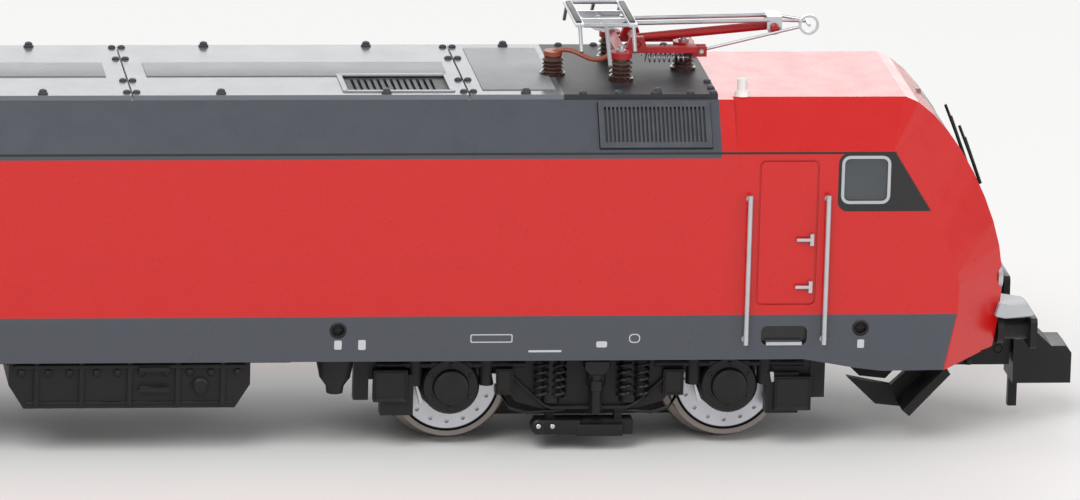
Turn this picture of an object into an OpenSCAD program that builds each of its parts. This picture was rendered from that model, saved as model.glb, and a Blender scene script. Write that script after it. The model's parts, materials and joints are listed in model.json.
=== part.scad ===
// Model electric locomotive for 9 mm gauge track: casing, roof gear, chassis, drive and two bogies.
// +X points to the leading cab, +Z up. Z = 0 is the bottom of the wheel flanges, under the middle.
// The two ends are the same: the rear end is the leading end turned half round about Z.

/* [Casing] */
// Length of the casing between the two cab fronts
body_len = 117.6; // [112:0.2:136]
// Width of the casing
body_w = 18.75; // [17.5:0.05:22.5]
// Wall thickness of the casing
wall = 0.8; // [0.6:0.05:1]
// Height of the skirt's lower edge
skirt_z = 6.8; // [6.6:0.1:7.2]
// Height of the crease between side wall and sloping roof edge
crease_z = 21.1; // [20.5:0.1:22]
// Height of the casing's flat top
top_z = 24.2; // [23.6:0.1:25.2]
// Thickness of the roof panels
roof_t = 0.26; // [0.2:0.02:0.5]
// Width of the roof panels
roof_w = 13.98; // [12:0.02:15]
// Length from the middle to the end of the roof panels
roof_half_len = 39.08; // [36:0.02:42]

/* [Running gear] */
// Distance between the bogie pivots
pivot_dist = 61.88; // [58:0.02:70]
// Distance between the axles of one bogie
wheelbase = 18.75; // [18:0.05:19.5]
// Radius of the wheel tread
tread_r = 3.9; // [3.8:0.05:4.1]
// Depth of the wheel flange
flange_h = 0.6; // [0.5:0.05:0.7]
// Distance between the backs of a pair of wheels
back_to_back = 7.4; // [7.3:0.05:7.5]
// Width of a wheel
wheel_w = 2.2; // [1.8:0.1:2.4]
// Radius of an axle
axle_r = 0.75; // [0.6:0.05:0.9]
// Radial clearance of a running fit
run_gap = 0.05; // [0.02:0.01:0.1]

/* [Drive] */
// Gear module: pitch diameter divided by the number of teeth
gear_m = 0.4; // [0.38:0.01:0.42]
// Radius of the motor armature
armature_r = 4; // [3.5:0.1:4.4]
// Radius of the flywheels
flywheel_r = 4.6; // [4:0.1:5]
// Radius of the drive shaft
shaft_r = 0.6; // [0.5:0.05:0.75]

/* [Ends] */
// Distance of a buffer from the centre line
buffer_y = 5.47; // [5:0.01:6]
// Height of the buffers
buffer_z = 6.9; // [6.6:0.1:7.6]
// Length of a buffer from the cab front to its head
buffer_len = 2.4; // [1.8:0.1:3]
// Length of the coupler from its pivot to its tip
coupler_len = 9.6; // [9:0.1:10.5]

/* [Pantograph] */
// Distance of the lower arm's hinge from the middle of the locomotive
panto_x = 34.2; // [33.5:0.1:35]
// Length of the lower arm
lower_arm_len = 9.44; // [8.8:0.02:9.6]
// Length of the upper arm
upper_arm_len = 11.7; // [11:0.02:12]
// Length of the contact strips
strip_len = 7; // [6:0.1:8]

/* [Hidden] */
$fn = 48;
eps = 0.01;

red = [0.78, 0.10, 0.09];
grey = [0.33, 0.35, 0.39];
black = [0.10, 0.10, 0.11];
silver = [0.78, 0.79, 0.81];
brown = [0.33, 0.16, 0.12];
brass = [0.78, 0.62, 0.30];

// Casing
half_w = body_w / 2;
nose_x = body_len / 2;
shoulder_y = roof_w / 2 + 0.06;
shoulder_z = top_z - 0.1;
bevel_run = half_w - shoulder_y;
bevel_angle = atan2(shoulder_z - crease_z, bevel_run);
bevel_len = norm([shoulder_z - crease_z, bevel_run]);
apron_z = 5.85;
nose_flat_y = 6.3;
cab_start = nose_x - 19.72;
roof_z = top_z + roof_t;

// Openings of the cab sides, measured back from the cab front
door_x0 = nose_x - 17.17;
door_x1 = nose_x - 13.14;
door_z0 = 10.56;
door_z1 = 20.54;
rail_x = [nose_x - 17.77, nose_x - 12.51];
rail_z0 = 7.92;
rail_z1 = 18.2;
side_window = [nose_x - 11.5, 17.66, 3.0, 3.0];
step_mid_x = (door_x0 + door_x1) / 2;
step_z = 7.8;
socket_r = 0.42;
socket_z = 8.95;
socket_x = [13.74, nose_x - 10];
windscreen_w = 11.2;
windscreen_z0 = 17.4;
windscreen_z1 = 21.6;
lamp_z = 11.6;
lamp_y = 5.7;
lamp_r = 0.7;

// Drive train: every gear turns about Y
axle_z = tread_r + flange_h;
pivot_x = pivot_dist / 2;
axle_teeth = 12;
idler_teeth = 14;
worm_wheel_teeth = 16;
axle_pitch_r = gear_m * axle_teeth / 2;
idler_pitch_r = gear_m * idler_teeth / 2;
worm_wheel_pitch_r = gear_m * worm_wheel_teeth / 2;
worm_pitch_r = 1.6;
worm_lead = PI * gear_m;
idler_x = 4.6;
idler_z = axle_z + sqrt(pow(axle_pitch_r + idler_pitch_r, 2) - pow(wheelbase / 2 - idler_x, 2));
worm_wheel_z = idler_z + sqrt(pow(idler_pitch_r + worm_wheel_pitch_r, 2) - pow(idler_x, 2));
shaft_z = worm_wheel_z + worm_wheel_pitch_r + worm_pitch_r;
gear_w = 2.2;
gear_pin_r = 0.6;
worm_len = 6;

// Bogie, measured from its own pivot
case_y = 2.2;
case_wall = 0.8;
case_over = 3.6;
boss_r = 4.6;
boss_z0 = 8.5;
boss_z1 = 12.8;
deck_z0 = 9.5;
cover_z1 = axle_z - axle_pitch_r - 0.6;
cover_z0 = cover_z1 - 0.4;
gear_room_x = idler_x + idler_pitch_r + 0.8;
gear_room_z = idler_z + idler_pitch_r + 0.54;
worm_wheel_room = worm_wheel_pitch_r + 0.7;
side_y0 = 6.5;
side_y1 = 7.3;

// Chassis
chassis_y = half_w - wall - 0.2;
chassis_half_len = nose_x - 8.3;
chassis_z1 = 19.2;
web_z1 = boss_z1 + 0.2;
beam_z0 = 7.9;
can_half_len = 9;
tank_z0 = 3.46;
tank_z1 = skirt_z + 0.1;
tank_half_len = 8.03;

// Pantograph, in the plane Y = 0
base_z = 26.0;
hinge_z = 26.6;
knuckle_rise = 0.9;
lower_angle = asin(knuckle_rise / lower_arm_len);
knuckle = [panto_x + lower_arm_len * cos(lower_angle), hinge_z + knuckle_rise];
apex_rise = 0.25;
upper_angle = asin(apex_rise / upper_arm_len);
apex = [knuckle[0] - upper_arm_len * cos(upper_angle), knuckle[1] + apex_rise];
tail = [knuckle[0] + 2.26, knuckle[1] + 0.3];
rod_base = [panto_x + 4.4, base_z + 0.05];
rod_y = -1.25;
rod_vector = [tail[0] - rod_base[0], tail[1] - rod_base[1]];
rod_angle = atan2(rod_vector[1], rod_vector[0]);
rod_len = norm(rod_vector);
strip_z = apex[1] + 0.42;
apex_pin_r = 0.16;
insulator_h = base_z - roof_z;
feet = [[panto_x - 1.2, -3], [panto_x - 1.2, 3], [panto_x + 3.4, 0]];

// Helpers -------------------------------------------------------------------

// The same thing at the leading end and, turned half round, at the rear end.
module both_ends() {
    children();
    rotate([0, 0, 180]) children();
}

// The same thing on both side walls.
module both_sides() {
    children();
    mirror([0, 1, 0]) children();
}

// A flat outline in the XZ plane, between two Y values.
module slab_y(y0, y1) {
    translate([0, y1, 0]) rotate([90, 0, 0]) linear_extrude(y1 - y0) children();
}

// A flat outline in the YZ plane, between two X values.
module slab_x(x0, x1) {
    translate([x0, 0, 0]) rotate([90, 0, 90]) linear_extrude(x1 - x0) children();
}

// A box given by its lowest and highest corners.
module block(low, high) {
    translate(low) cube(high - low);
}

// A cylinder along Y between two Y values.
module bar_y(x, z, r, y0, y1) {
    translate([x, y1, z]) rotate([90, 0, 0]) cylinder(r = r, h = y1 - y0);
}

// A cylinder along X between two X values.
module bar_x(x0, x1, y, z, r) {
    translate([x0, y, z]) rotate([0, 90, 0]) cylinder(r = r, h = x1 - x0);
}

// A round rod between two points.
module rod(a, b, r) {
    d = b - a;
    translate(a) rotate([0, acos(d[2] / norm(d)), atan2(d[1], d[0])]) cylinder(r = r, h = norm(d));
}

// A rectangle with rounded corners.
module rounded(x0, z0, w, h, r) {
    translate([x0 + r, z0]) square([w - 2 * r, h]);
    translate([x0, z0 + r]) square([w, h - 2 * r]);
    for (x = [x0 + r, x0 + w - r], z = [z0 + r, z0 + h - r]) translate([x, z]) circle(r = r, $fn = 24);
}

// Local frame on the sloping roof edge of the -Y side: X along, Y up the slope, Z outwards.
module on_bevel() {
    translate([0, -half_w, crease_z]) rotate([bevel_angle, 0, 0]) children();
}

// Point of a cubic curve at t.
function bezier(p, t) =
    pow(1 - t, 3) * p[0] + 3 * pow(1 - t, 2) * t * p[1] + 3 * (1 - t) * t * t * p[2] + t * t * t * p[3];

// Casing --------------------------------------------------------------------

// Front of the cab seen from the side, in X and Z, at the flat nose and at the side wall's edge.
nose_curve = [
    [nose_x - 8, shoulder_z + 0.02], [nose_x - 5.2, shoulder_z + 0.9],
    [nose_x - 0.4, 17.2], [nose_x - 0.05, 12.2]
];
edge_curve = [[nose_x - 8.2, crease_z], [nose_x - 6.4, 17.8], [nose_x - 3.8, 15], [nose_x - 3.4, 11.8]];
nose_low = [[nose_x, 10.8], [nose_x - 0.2, 8.6], [nose_x - 0.5, skirt_z]];
edge_low = [[nose_x - 3.5, 9.6], [nose_x - 4.2, apron_z + 0.15]];

module nose_outline(inset) {
    upper = [for (t = [0:0.1:1]) bezier(nose_curve, t)];
    polygon([for (p = concat([[cab_start, shoulder_z]], upper, nose_low, [[cab_start, skirt_z]]))
        [p[0] - inset, p[1]]]);
}

module edge_outline(inset) {
    upper = [for (t = [0:0.1:1]) bezier(edge_curve, t)];
    polygon([for (p = concat([[cab_start, crease_z]], upper, edge_low, [[cab_start, apron_z]]))
        [p[0] - inset, p[1]]]);
}

// The cab's outer form: flat nose, slanted corners.
module cab_form(inset = 0) {
    hull() {
        slab_y(-nose_flat_y, nose_flat_y) nose_outline(inset);
        slab_y(-half_w, half_w) edge_outline(inset);
    }
}

// Cross-section of the casing, drawn in by an inset.
module body_section(inset, z0) {
    w = half_w - inset;
    s = shoulder_y - inset * 0.7;
    t = shoulder_z - inset;
    polygon([[-w, z0], [w, z0], [w, crease_z - inset * 0.3], [s, t], [-s, t], [-w, crease_z - inset * 0.3]]);
}

// What the skirt's lower edge leaves free under the middle and, rising again, under the nose.
module under_skirt() {
    slab_y(-half_w - 1, half_w + 1) polygon([
        [-nose_x - 1, 0], [nose_x + 1, 0], [nose_x + 1, skirt_z], [nose_x - 1.4, skirt_z - 0.1],
        [nose_x - 1.4, apron_z + 0.1], [nose_x - 4.2, apron_z - 0.2], [nose_x - 7.6, apron_z],
        [nose_x - 10.4, apron_z + 0.35], [nose_x - 13.8, skirt_z], [-nose_x + 13.8, skirt_z],
        [-nose_x + 10.4, apron_z + 0.35], [-nose_x + 7.6, apron_z], [-nose_x + 4.2, apron_z - 0.2],
        [-nose_x + 1.4, apron_z + 0.1], [-nose_x + 1.4, skirt_z - 0.1], [-nose_x - 1, skirt_z]
    ]);
}

module windscreen_outline(gap) {
    rounded(-windscreen_w / 2 + gap, windscreen_z0 + gap, windscreen_w - 2 * gap,
        windscreen_z1 - windscreen_z0 - 2 * gap, 0.6);
}

module side_window_outline(gap) {
    rounded(side_window[0] + gap, side_window[1] + gap, side_window[2] - 2 * gap,
        side_window[3] - 2 * gap, 0.4);
}

module door_groove() {
    slab_y(-half_w - eps, -half_w + 0.12) difference() {
        rounded(door_x0, door_z0, door_x1 - door_x0, door_z1 - door_z0, 0.4);
        rounded(door_x0 + 0.14, door_z0 + 0.14, door_x1 - door_x0 - 0.28, door_z1 - door_z0 - 0.28, 0.28);
    }
}

module body_shell() {
    color(red) difference() {
        intersection() {
            slab_x(-nose_x - 1, nose_x + 1) body_section(0, apron_z - 1);
            union() {
                block([-cab_start - 1, -half_w, apron_z - 1], [cab_start + 1, half_w, top_z]);
                both_ends() cab_form();
            }
        }
        under_skirt();
        slab_x(-cab_start, cab_start) body_section(wall, 0);
        both_ends() intersection() {
            slab_x(cab_start - 1, nose_x) body_section(wall, 0);
            union() {
                cab_form(wall);
                block([cab_start - 1, -nose_flat_y, 0], [nose_x - 1.5, nose_flat_y, skirt_z + 1]);
            }
        }
        both_ends() slab_x(nose_x - 7, nose_x + 1) windscreen_outline(0);
        both_ends() both_sides() {
            slab_y(-half_w - 1, -half_w + wall + 1) side_window_outline(0);
            door_groove();
            slab_y(-half_w - 1, -half_w + 0.45) rounded(step_mid_x - 1.55, step_z, 3.1, 1.3, 0.4);
            for (x = socket_x) bar_y(x, socket_z, socket_r, -half_w - 1, -half_w + 0.5);
            for (x = rail_x, z = [rail_z0 + 0.3, rail_z1 - 0.3]) bar_y(x, z, 0.2, -half_w - 1, -half_w + 0.4);
            bar_x(nose_x - 3, nose_x + 1, lamp_y, lamp_z, lamp_r);
            bar_x(nose_x - 2.6, nose_x + 1, buffer_y, buffer_z + 0.9, 0.5);
            on_bevel() translate([grille_x0, 0.2, -0.3]) cube([grille_len, bevel_len - 0.35, 1]);
        }
        both_ends() bar_x(nose_x - 9, nose_x + 1, 0, windscreen_z1 + 1.1, 0.45);
        both_ends() translate([vent_x, vent_y, top_z - 2]) cube([vent_size[0], vent_size[1], 4]);
        both_ends() for (p = feet) translate([p[0], p[1], top_z - 2]) cylinder(r = 0.34, h = 3);
    }
}

// Roof ----------------------------------------------------------------------

seam_x = 22.4;
seam_gap = 0.12;
vent_x = 14.3;
vent_size = [7, 4.4];
vent_y = -6;
grille_x0 = roof_half_len - 8.2;
grille_len = 7.6;

module roof_panel(x0, x1) {
    block([x0 + seam_gap / 2, -roof_w / 2, top_z - 0.1], [x1 - seam_gap / 2, roof_w / 2, roof_z]);
}

module roof_panels() {
    color(grey) difference() {
        union() {
            roof_panel(-roof_half_len, -seam_x);
            roof_panel(-seam_x, 0);
            roof_panel(0, seam_x);
            roof_panel(seam_x, roof_half_len);
        }
        both_ends() translate([vent_x, vent_y, top_z - 1]) cube([vent_size[0], vent_size[1], 3]);
        both_ends() for (p = feet) translate([p[0], p[1], top_z - 1]) cylinder(r = 0.34, h = 3);
        both_ends() translate([post_x, post_y, top_z - 1]) cylinder(r = 0.34, h = 3);
    }
}

module roof_vents() {
    slot_pitch = 0.44;
    color(black) both_ends() translate([vent_x, vent_y, top_z - 0.5]) difference() {
        translate([0.04, 0.04, 0]) cube([vent_size[0] - 0.08, vent_size[1] - 0.08, 0.62]);
        for (x = [0.6:slot_pitch:vent_size[0] - 0.7]) translate([x, 0.5, 0.3]) cube([0.2, vent_size[1] - 1, 1]);
    }
}

module side_grilles() {
    slat_pitch = 0.275;
    h = bevel_len - 0.35;
    color(grey) both_ends() both_sides() on_bevel() translate([grille_x0, 0.2, -0.25]) difference() {
        translate([0.05, 0.05, 0]) cube([grille_len - 0.1, h - 0.1, 0.45]);
        for (x = [0.42:slat_pitch:grille_len - 0.5]) translate([x, 0.45, 0.15]) cube([0.14, h - 0.9, 1]);
    }
}

// Cab fittings --------------------------------------------------------------

module cab_glazing() {
    color([0.25, 0.3, 0.34, 0.6]) both_ends() {
        intersection() {
            difference() {
                cab_form(0.06);
                cab_form(0.5);
            }
            slab_x(nose_x - 7, nose_x + 1) windscreen_outline(0.04);
        }
        both_sides() slab_y(-half_w + 0.12, -half_w + 0.55) side_window_outline(0.04);
    }
}

module handrails() {
    r = 0.17;
    y = -half_w - 0.42;
    color(silver) both_ends() both_sides() for (x = rail_x) {
        translate([x, y, rail_z0]) cylinder(r = r, h = rail_z1 - rail_z0);
        for (z = [rail_z0 + 0.3, rail_z1 - 0.3]) bar_y(x, z, 0.14, y, -half_w + 0.3);
    }
}

module door_fittings() {
    color(silver) both_ends() both_sides() {
        for (z = [15.1, 11.85]) {
            block([door_x1 - 1.4, -half_w - 0.3, z - 0.1], [door_x1 - 0.3, -half_w - 0.12, z + 0.1]);
            block([door_x1 - 0.5, -half_w - 0.3, z - 0.4], [door_x1 - 0.26, -half_w, z + 0.4]);
        }
        block([step_mid_x - 1.2, -half_w - 0.12, step_z], [step_mid_x + 1.2, -half_w + 0.45, step_z + 0.22]);
    }
}

module wipers() {
    x = nose_x - 1.6;
    color(black) both_ends() for (y = [-2.9, 2.9]) {
        rod([x + 0.45, y, windscreen_z0 - 0.2], [x - 0.75, y, windscreen_z0 + 3], 0.12);
        rod([x - 0.1, y - 0.35, windscreen_z0 + 1.2], [x - 1.2, y - 0.35, windscreen_z0 + 3.9], 0.1);
    }
}

module horns() {
    color([0.9, 0.9, 0.9]) both_ends() translate([roof_half_len + 1.7, -5.9, shoulder_z]) {
        cylinder(r1 = 0.55, r2 = 0.42, h = 0.35);
        cylinder(r = 0.34, h = 1.15);
    }
}

// Roof electrics ------------------------------------------------------------

post_x = 28.6;
post_y = -1.4;

module insulator(h) {
    cylinder(r = 0.58, h = h);
    cylinder(r = 0.85, h = 0.18);
    for (k = [1:4]) translate([0, 0, k * h / 5.2]) cylinder(r1 = 0.78, r2 = 0.6, h = 0.16);
}

module roof_insulators() {
    color(brown) both_ends() {
        for (p = feet) translate([p[0], p[1], roof_z]) insulator(insulator_h);
        translate([post_x, post_y, roof_z]) insulator(insulator_h - 0.2);
    }
}

// The bent bar from the roof post to the pantograph's near foot, as one swept tube.
conductor_r = 0.17;
conductor_curve = [
    [post_x, post_y, base_z - 0.05], [post_x + 1.6, post_y - 0.5, base_z + 0.9],
    [post_x + 2.2, post_y - 1.0, base_z - 1.1], [feet[0][0] - 0.76, feet[0][1], base_z + 0.2]
];
conductor_steps = 16;
tube_sides = 8;

module tube_along(curve, r) {
    points = [for (i = [0:conductor_steps]) bezier(curve, i / conductor_steps)];
    rings = [for (i = [0:conductor_steps])
        let (d = points[min(i + 1, conductor_steps)] - points[max(i - 1, 0)], t = d / norm(d),
            side = cross(t, [0, 0, 1]) / norm(cross(t, [0, 0, 1])), up = cross(side, t))
        for (k = [0:tube_sides - 1]) let (a = k * 360 / tube_sides) points[i] + r * (cos(a) * side + sin(a) * up)];
    walls = [for (i = [0:conductor_steps - 1], k = [0:tube_sides - 1])
        let (n = i * tube_sides, m = (k + 1) % tube_sides) [n + k, n + m, n + tube_sides + m, n + tube_sides + k]];
    polyhedron(rings, concat(walls, [[for (k = [tube_sides - 1:-1:0]) k],
        [for (k = [0:tube_sides - 1]) conductor_steps * tube_sides + k]]));
}

module roof_conductors() {
    color([0.6, 0.3, 0.18]) both_ends() {
        translate([post_x, post_y, base_z - 0.2]) cylinder(r = 0.62, h = 0.3);
        tube_along(conductor_curve, conductor_r);
    }
}

// Pantograph ----------------------------------------------------------------

module panto_base() {
    x0 = panto_x - 1.2;
    x1 = panto_x + 3.9;
    color(red) {
        difference() {
            union() {
                for (p = feet) translate([p[0], p[1], base_z]) cylinder(r = 0.72, h = 0.4);
                block([x0 - 0.35, -3, base_z], [x0 + 0.35, 3, base_z + 0.4]);
                both_sides() block([x0, 1.35, base_z], [x1, 1.85, base_z + 0.4]);
                block([x1 - 0.5, -1.85, base_z], [x1 + 0.15, 1.85, base_z + 0.4]);
                both_sides() slab_y(1.35, 1.85) polygon([
                    [panto_x - 0.8, base_z], [panto_x + 0.8, base_z],
                    [panto_x + 0.45, hinge_z + 0.5], [panto_x - 0.45, hinge_z + 0.5]
                ]);
                for (d = [-0.4, 0.2])
                    block([x1 - 0.1, rod_y + d, base_z - 0.3], [rod_base[0] + 0.35, rod_y + d + 0.2, base_z + 0.4]);
            }
            bar_y(panto_x, hinge_z, 0.2 + run_gap, -3, 3);
            bar_y(rod_base[0], rod_base[1], 0.15 + run_gap, -3, 0);
        }
    }
}

module panto_lower_arm() {
    color(red) {
        bar_y(panto_x, hinge_z, 0.2, -1.8, 1.8);
        bar_y(panto_x, hinge_z, 0.34, -1.25, 1.25);
        rod([panto_x, 0, hinge_z], [knuckle[0], 0, knuckle[1]], 0.3);
        bar_y(knuckle[0], knuckle[1], 0.42, -0.5, 0.5);
        bar_y(knuckle[0], knuckle[1], 0.2, -0.95, 0.95);
    }
}

module panto_upper_arm() {
    color(silver) {
        both_sides() difference() {
            union() {
                slab_y(0.62, 0.86) {
                    translate(knuckle) circle(r = 0.5);
                    translate([knuckle[0] - 0.5, knuckle[1]]) square([1, 0.75]);
                }
                rod([knuckle[0] - 0.3, 0.74, knuckle[1] + 0.5], [apex[0], 0.74, apex[1]], 0.15);
                rod([knuckle[0] + 0.2, 0.74, knuckle[1] + 0.5], [tail[0], 0.2, tail[1]], 0.11);
            }
            bar_y(knuckle[0], knuckle[1], 0.2 + run_gap, 0, 2);
        }
        block([knuckle[0] - 0.5, -0.75, knuckle[1] + 0.55], [knuckle[0] + 0.5, 0.75, knuckle[1] + 0.75]);
        bar_y(apex[0], apex[1], 0.2, -0.85, 0.85);
        bar_y(apex[0], apex[1], apex_pin_r, -1.3, 1.3);
        bar_y(tail[0], tail[1], 0.12, rod_y - 0.2, 0.3);
    }
}

module panto_head() {
    half = strip_len / 2;
    reach = 1.8;
    color(silver) {
        both_sides() difference() {
            slab_y(1.0, 1.2) polygon([
                [apex[0] - 0.4, apex[1] - 0.35], [apex[0] + 0.4, apex[1] - 0.35],
                [apex[0] + reach, strip_z], [apex[0] - reach, strip_z]
            ]);
            bar_y(apex[0], apex[1], apex_pin_r + run_gap, 0, 2);
        }
        both_sides() block([apex[0] - reach, 1.0, strip_z - 0.1], [apex[0] + reach, 1.2, strip_z + 0.05]);
        for (x = [apex[0] - reach, apex[0] + reach]) {
            block([x - 0.28, -half, strip_z], [x + 0.28, half, strip_z + 0.22]);
            both_sides() rod([x, half - 0.1, strip_z + 0.1], [x, half + 1.2, strip_z - 1.4], 0.13);
        }
        both_sides() {
            rod([apex[0] - reach, half - 0.15, strip_z + 0.1], [apex[0] + reach, half - 0.15, strip_z + 0.1], 0.13);
            rod([apex[0], half - 0.15, strip_z + 0.1], [apex[0], half + 2.4, strip_z - 2.1], 0.14);
        }
    }
}

module panto_rod() {
    ring_r = 0.68;
    reach = rod_len - ring_r + 0.08;
    color(silver) {
        rod([rod_base[0], rod_y, rod_base[1]],
            [rod_base[0] + reach * cos(rod_angle), rod_y, rod_base[1] + reach * sin(rod_angle)], 0.1);
        bar_y(rod_base[0], rod_base[1], 0.15, rod_y - 0.42, rod_y + 0.42);
        difference() {
            bar_y(tail[0], tail[1], ring_r, rod_y - 0.13, rod_y + 0.13);
            bar_y(tail[0], tail[1], ring_r - 0.16, -3, 0);
        }
    }
}

module panto_springs() {
    color(silver) both_ends() both_sides() {
        bar_x(panto_x + 0.75, panto_x + 3.2, 0.95, base_z - 0.5, 0.36);
        translate([panto_x + 3.2, 0.95, base_z - 0.5]) rotate([0, 90, 0]) cylinder(r = 0.12, h = 0.4);
    }
}

// Chassis -------------------------------------------------------------------

bearing_x = [pivot_x - 5.2, pivot_x + 5.2];
bearing_r = 1.3;
flywheel_x0 = can_half_len + 1.6;
flywheel_len = 7;

module chassis_block() {
    color([0.45, 0.45, 0.47]) difference() {
        union() {
            block([-chassis_half_len, -chassis_y, deck_z0], [chassis_half_len, chassis_y, chassis_z1]);
            block([-11, -chassis_y, tank_z1], [11, chassis_y, deck_z0 + 1]);
            both_ends() block([chassis_half_len - 4, -3, beam_z0], [nose_x - 2.6, 3, deck_z0 + 1]);
            both_ends() translate([coupler_x, 0, coupler_z + 1.25]) cylinder(r = 1.2, h = deck_z0 - coupler_z - 1.25);
        }
        // Motor, flywheels, worm channel and the space round each bogie pivot
        block([-can_half_len - 0.3, -6.2, shaft_z - 5.2], [can_half_len + 0.3, 6.2, 30]);
        both_ends() {
            block([can_half_len - 1, -flywheel_r - 0.4, shaft_z - flywheel_r - 0.4],
                [flywheel_x0 + flywheel_len + 0.8, flywheel_r + 0.4, 30]);
            block([flywheel_x0, -2.4, web_z1], [pivot_x + 8, 2.4, 30]);
            translate([pivot_x, 0, 0]) cylinder(r = boss_r + run_gap, h = 40);
            translate([pivot_x, 0, web_z1]) cylinder(r = boss_r + 0.4, h = 40);
            block([pivot_x - gear_room_x - 0.4, -2.8, deck_z0 - 1],
                [pivot_x + gear_room_x + 0.4, 2.8, gear_room_z + 0.46]);
            translate([coupler_x, 0, coupler_z]) cylinder(r = 0.5 + run_gap, h = 4);
            for (y = [-6, 6]) translate([pivot_x + 12, y, chassis_z1 - 4]) cylinder(r = 0.4, h = 5);
        }
        for (x = bearing_x, s = [-1, 1]) bar_x(s * x - 0.8, s * x + 0.8, 0, shaft_z, bearing_r);
    }
}

module motor_can() {
    color([0.6, 0.6, 0.63]) difference() {
        intersection() {
            bar_x(-can_half_len, can_half_len, 0, shaft_z, 6);
            block([-can_half_len, -6, shaft_z - 4.9], [can_half_len, 6, shaft_z + 4.9]);
        }
        bar_x(-can_half_len + 0.8, can_half_len - 0.8, 0, shaft_z, armature_r + 0.35);
        bar_x(-can_half_len - 1, can_half_len + 1, 0, shaft_z, shaft_r + run_gap);
        for (s = [-1, 1], y = [-3, 3])
            bar_x(s * (can_half_len - 0.4) - 0.5, s * (can_half_len - 0.4) + 0.5, y, shaft_z + 3, 0.4);
    }
}

module circuit_boards() {
    color([0.12, 0.38, 0.2]) {
        difference() {
            block([-28, -7.4, chassis_z1 + 1.2], [28, 7.4, chassis_z1 + 2]);
            for (x = [-26, 26], y = [-6, 6]) translate([x, y, chassis_z1]) cylinder(r = 0.5, h = 4);
        }
        for (x = [-26, 26], y = [-6, 6]) translate([x, y, chassis_z1]) difference() {
            cylinder(r = 1, h = 1.2);
            translate([0, 0, -1]) cylinder(r = 0.5, h = 4);
        }
        both_ends() block([chassis_half_len, -6.5, lamp_z - 1], [chassis_half_len + 0.6, 6.5, lamp_z + 4]);
    }
}

module light_guides() {
    color([0.9, 0.9, 0.85, 0.7]) both_ends() {
        both_sides() bar_x(chassis_half_len + 0.7, nose_x - 0.35, lamp_y, lamp_z, lamp_r - 0.05);
        bar_x(nose_x - 7.2, nose_x - 5.0, 0, windscreen_z1 + 1.1, 0.4);
        translate([nose_x - 7.2, 0, windscreen_z1 + 1.1]) sphere(r = 0.4, $fn = 24);
    }
}

module chassis_screws() {
    color(silver) {
        for (x = [-26, 26], y = [-6, 6]) translate([x, y, chassis_z1]) {
            cylinder(r = 0.42, h = 2);
            translate([0, 0, 2]) difference() {
                cylinder(r = 0.85, h = 0.5);
                translate([-1, -0.1, 0.25]) cube([2, 0.2, 1]);
            }
        }
        both_ends() for (y = [-6, 6]) translate([pivot_x + 12, y, chassis_z1 - 3]) {
            cylinder(r = 0.4, h = 3);
            translate([0, 0, 3]) difference() {
                cylinder(r = 0.85, h = 0.5);
                translate([-1, -0.1, 0.25]) cube([2, 0.2, 1]);
            }
        }
    }
}

module shaft_bearings() {
    color(brass) for (x = bearing_x, s = [-1, 1]) difference() {
        bar_x(s * x - 0.8, s * x + 0.8, 0, shaft_z, bearing_r);
        bar_x(s * x - 2, s * x + 2, 0, shaft_z, shaft_r + run_gap);
    }
}

module underframe_tank() {
    y = half_w - 0.85;
    color(black) {
        block([-tank_half_len, -y, tank_z0 + 1.6], [tank_half_len, y, tank_z1]);
        slab_y(-y, y) polygon([
            [-tank_half_len + 1, tank_z0], [tank_half_len - 1, tank_z0],
            [tank_half_len, tank_z0 + 1.6], [-tank_half_len, tank_z0 + 1.6]
        ]);
        for (s = [-1, 1], x = [-6.2, -3.2, 0, 3.2, 6.2])
            translate([x - 0.15, s > 0 ? y : -y - 0.22, tank_z0 + 0.2]) cube([0.3, 0.22, tank_z1 - tank_z0 - 0.4]);
        both_sides() {
            block([0.6, y, tank_z0 + 1.2], [2.6, y + 0.45, tank_z0 + 1.5]);
            block([0.6, y, tank_z0 + 2.6], [2.6, y + 0.45, tank_z0 + 2.9]);
        }
        both_ends() both_sides() {
            bar_x(tank_half_len, 10.8, 7.2, tank_z1 - 0.45, 0.28);
            bar_x(tank_half_len, 10.8, 6.3, tank_z1 - 0.45, 0.2);
        }
    }
}

// Ends ----------------------------------------------------------------------

module buffers() {
    color(black) both_ends() both_sides() {
        bar_x(nose_x - 2.6, nose_x - 0.2, buffer_y, buffer_z + 0.9, 0.45);
        bar_x(nose_x - 0.14, nose_x + 0.3, buffer_y, buffer_z + 0.9, 1.0);
        bar_x(nose_x, nose_x + buffer_len - 0.4, buffer_y, buffer_z + 0.9, 0.72);
        slab_x(nose_x + buffer_len - 0.45, nose_x + buffer_len) translate([buffer_y, buffer_z + 0.9])
            rounded(-1.7, -1.05, 3.4, 2.1, 0.35);
    }
}

module rail_guards() {
    x = nose_x - 3.9;
    color(black) both_ends() {
        both_sides() {
            slab_y(3.2, 3.8) polygon([
                [x - 6, 4.0], [x - 4, 2.1], [x - 2.2, 1.9], [x + 0.6, 4.9], [x + 0.6, 5.3], [x - 1, 5.3], [x - 3, 3.4]
            ]);
            slab_y(3.8, 6.6) polygon([[x - 2.6, 2.4], [x - 2.1, 2.0], [x + 0.6, 4.9], [x + 0.2, 5.3]]);
            block([x - 1.2, 3.2, 5.1], [x + 0.4, 3.8, beam_z0]);
        }
        difference() {
            block([x - 1.2, -3.8, beam_z0 - 0.6], [x + 0.4, 3.8, beam_z0]);
            translate([coupler_x, 0, 0]) cylinder(r = 1.25, h = 20);
        }
    }
}

coupler_x = nose_x - 3.8;
coupler_z = 5.2;

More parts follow.
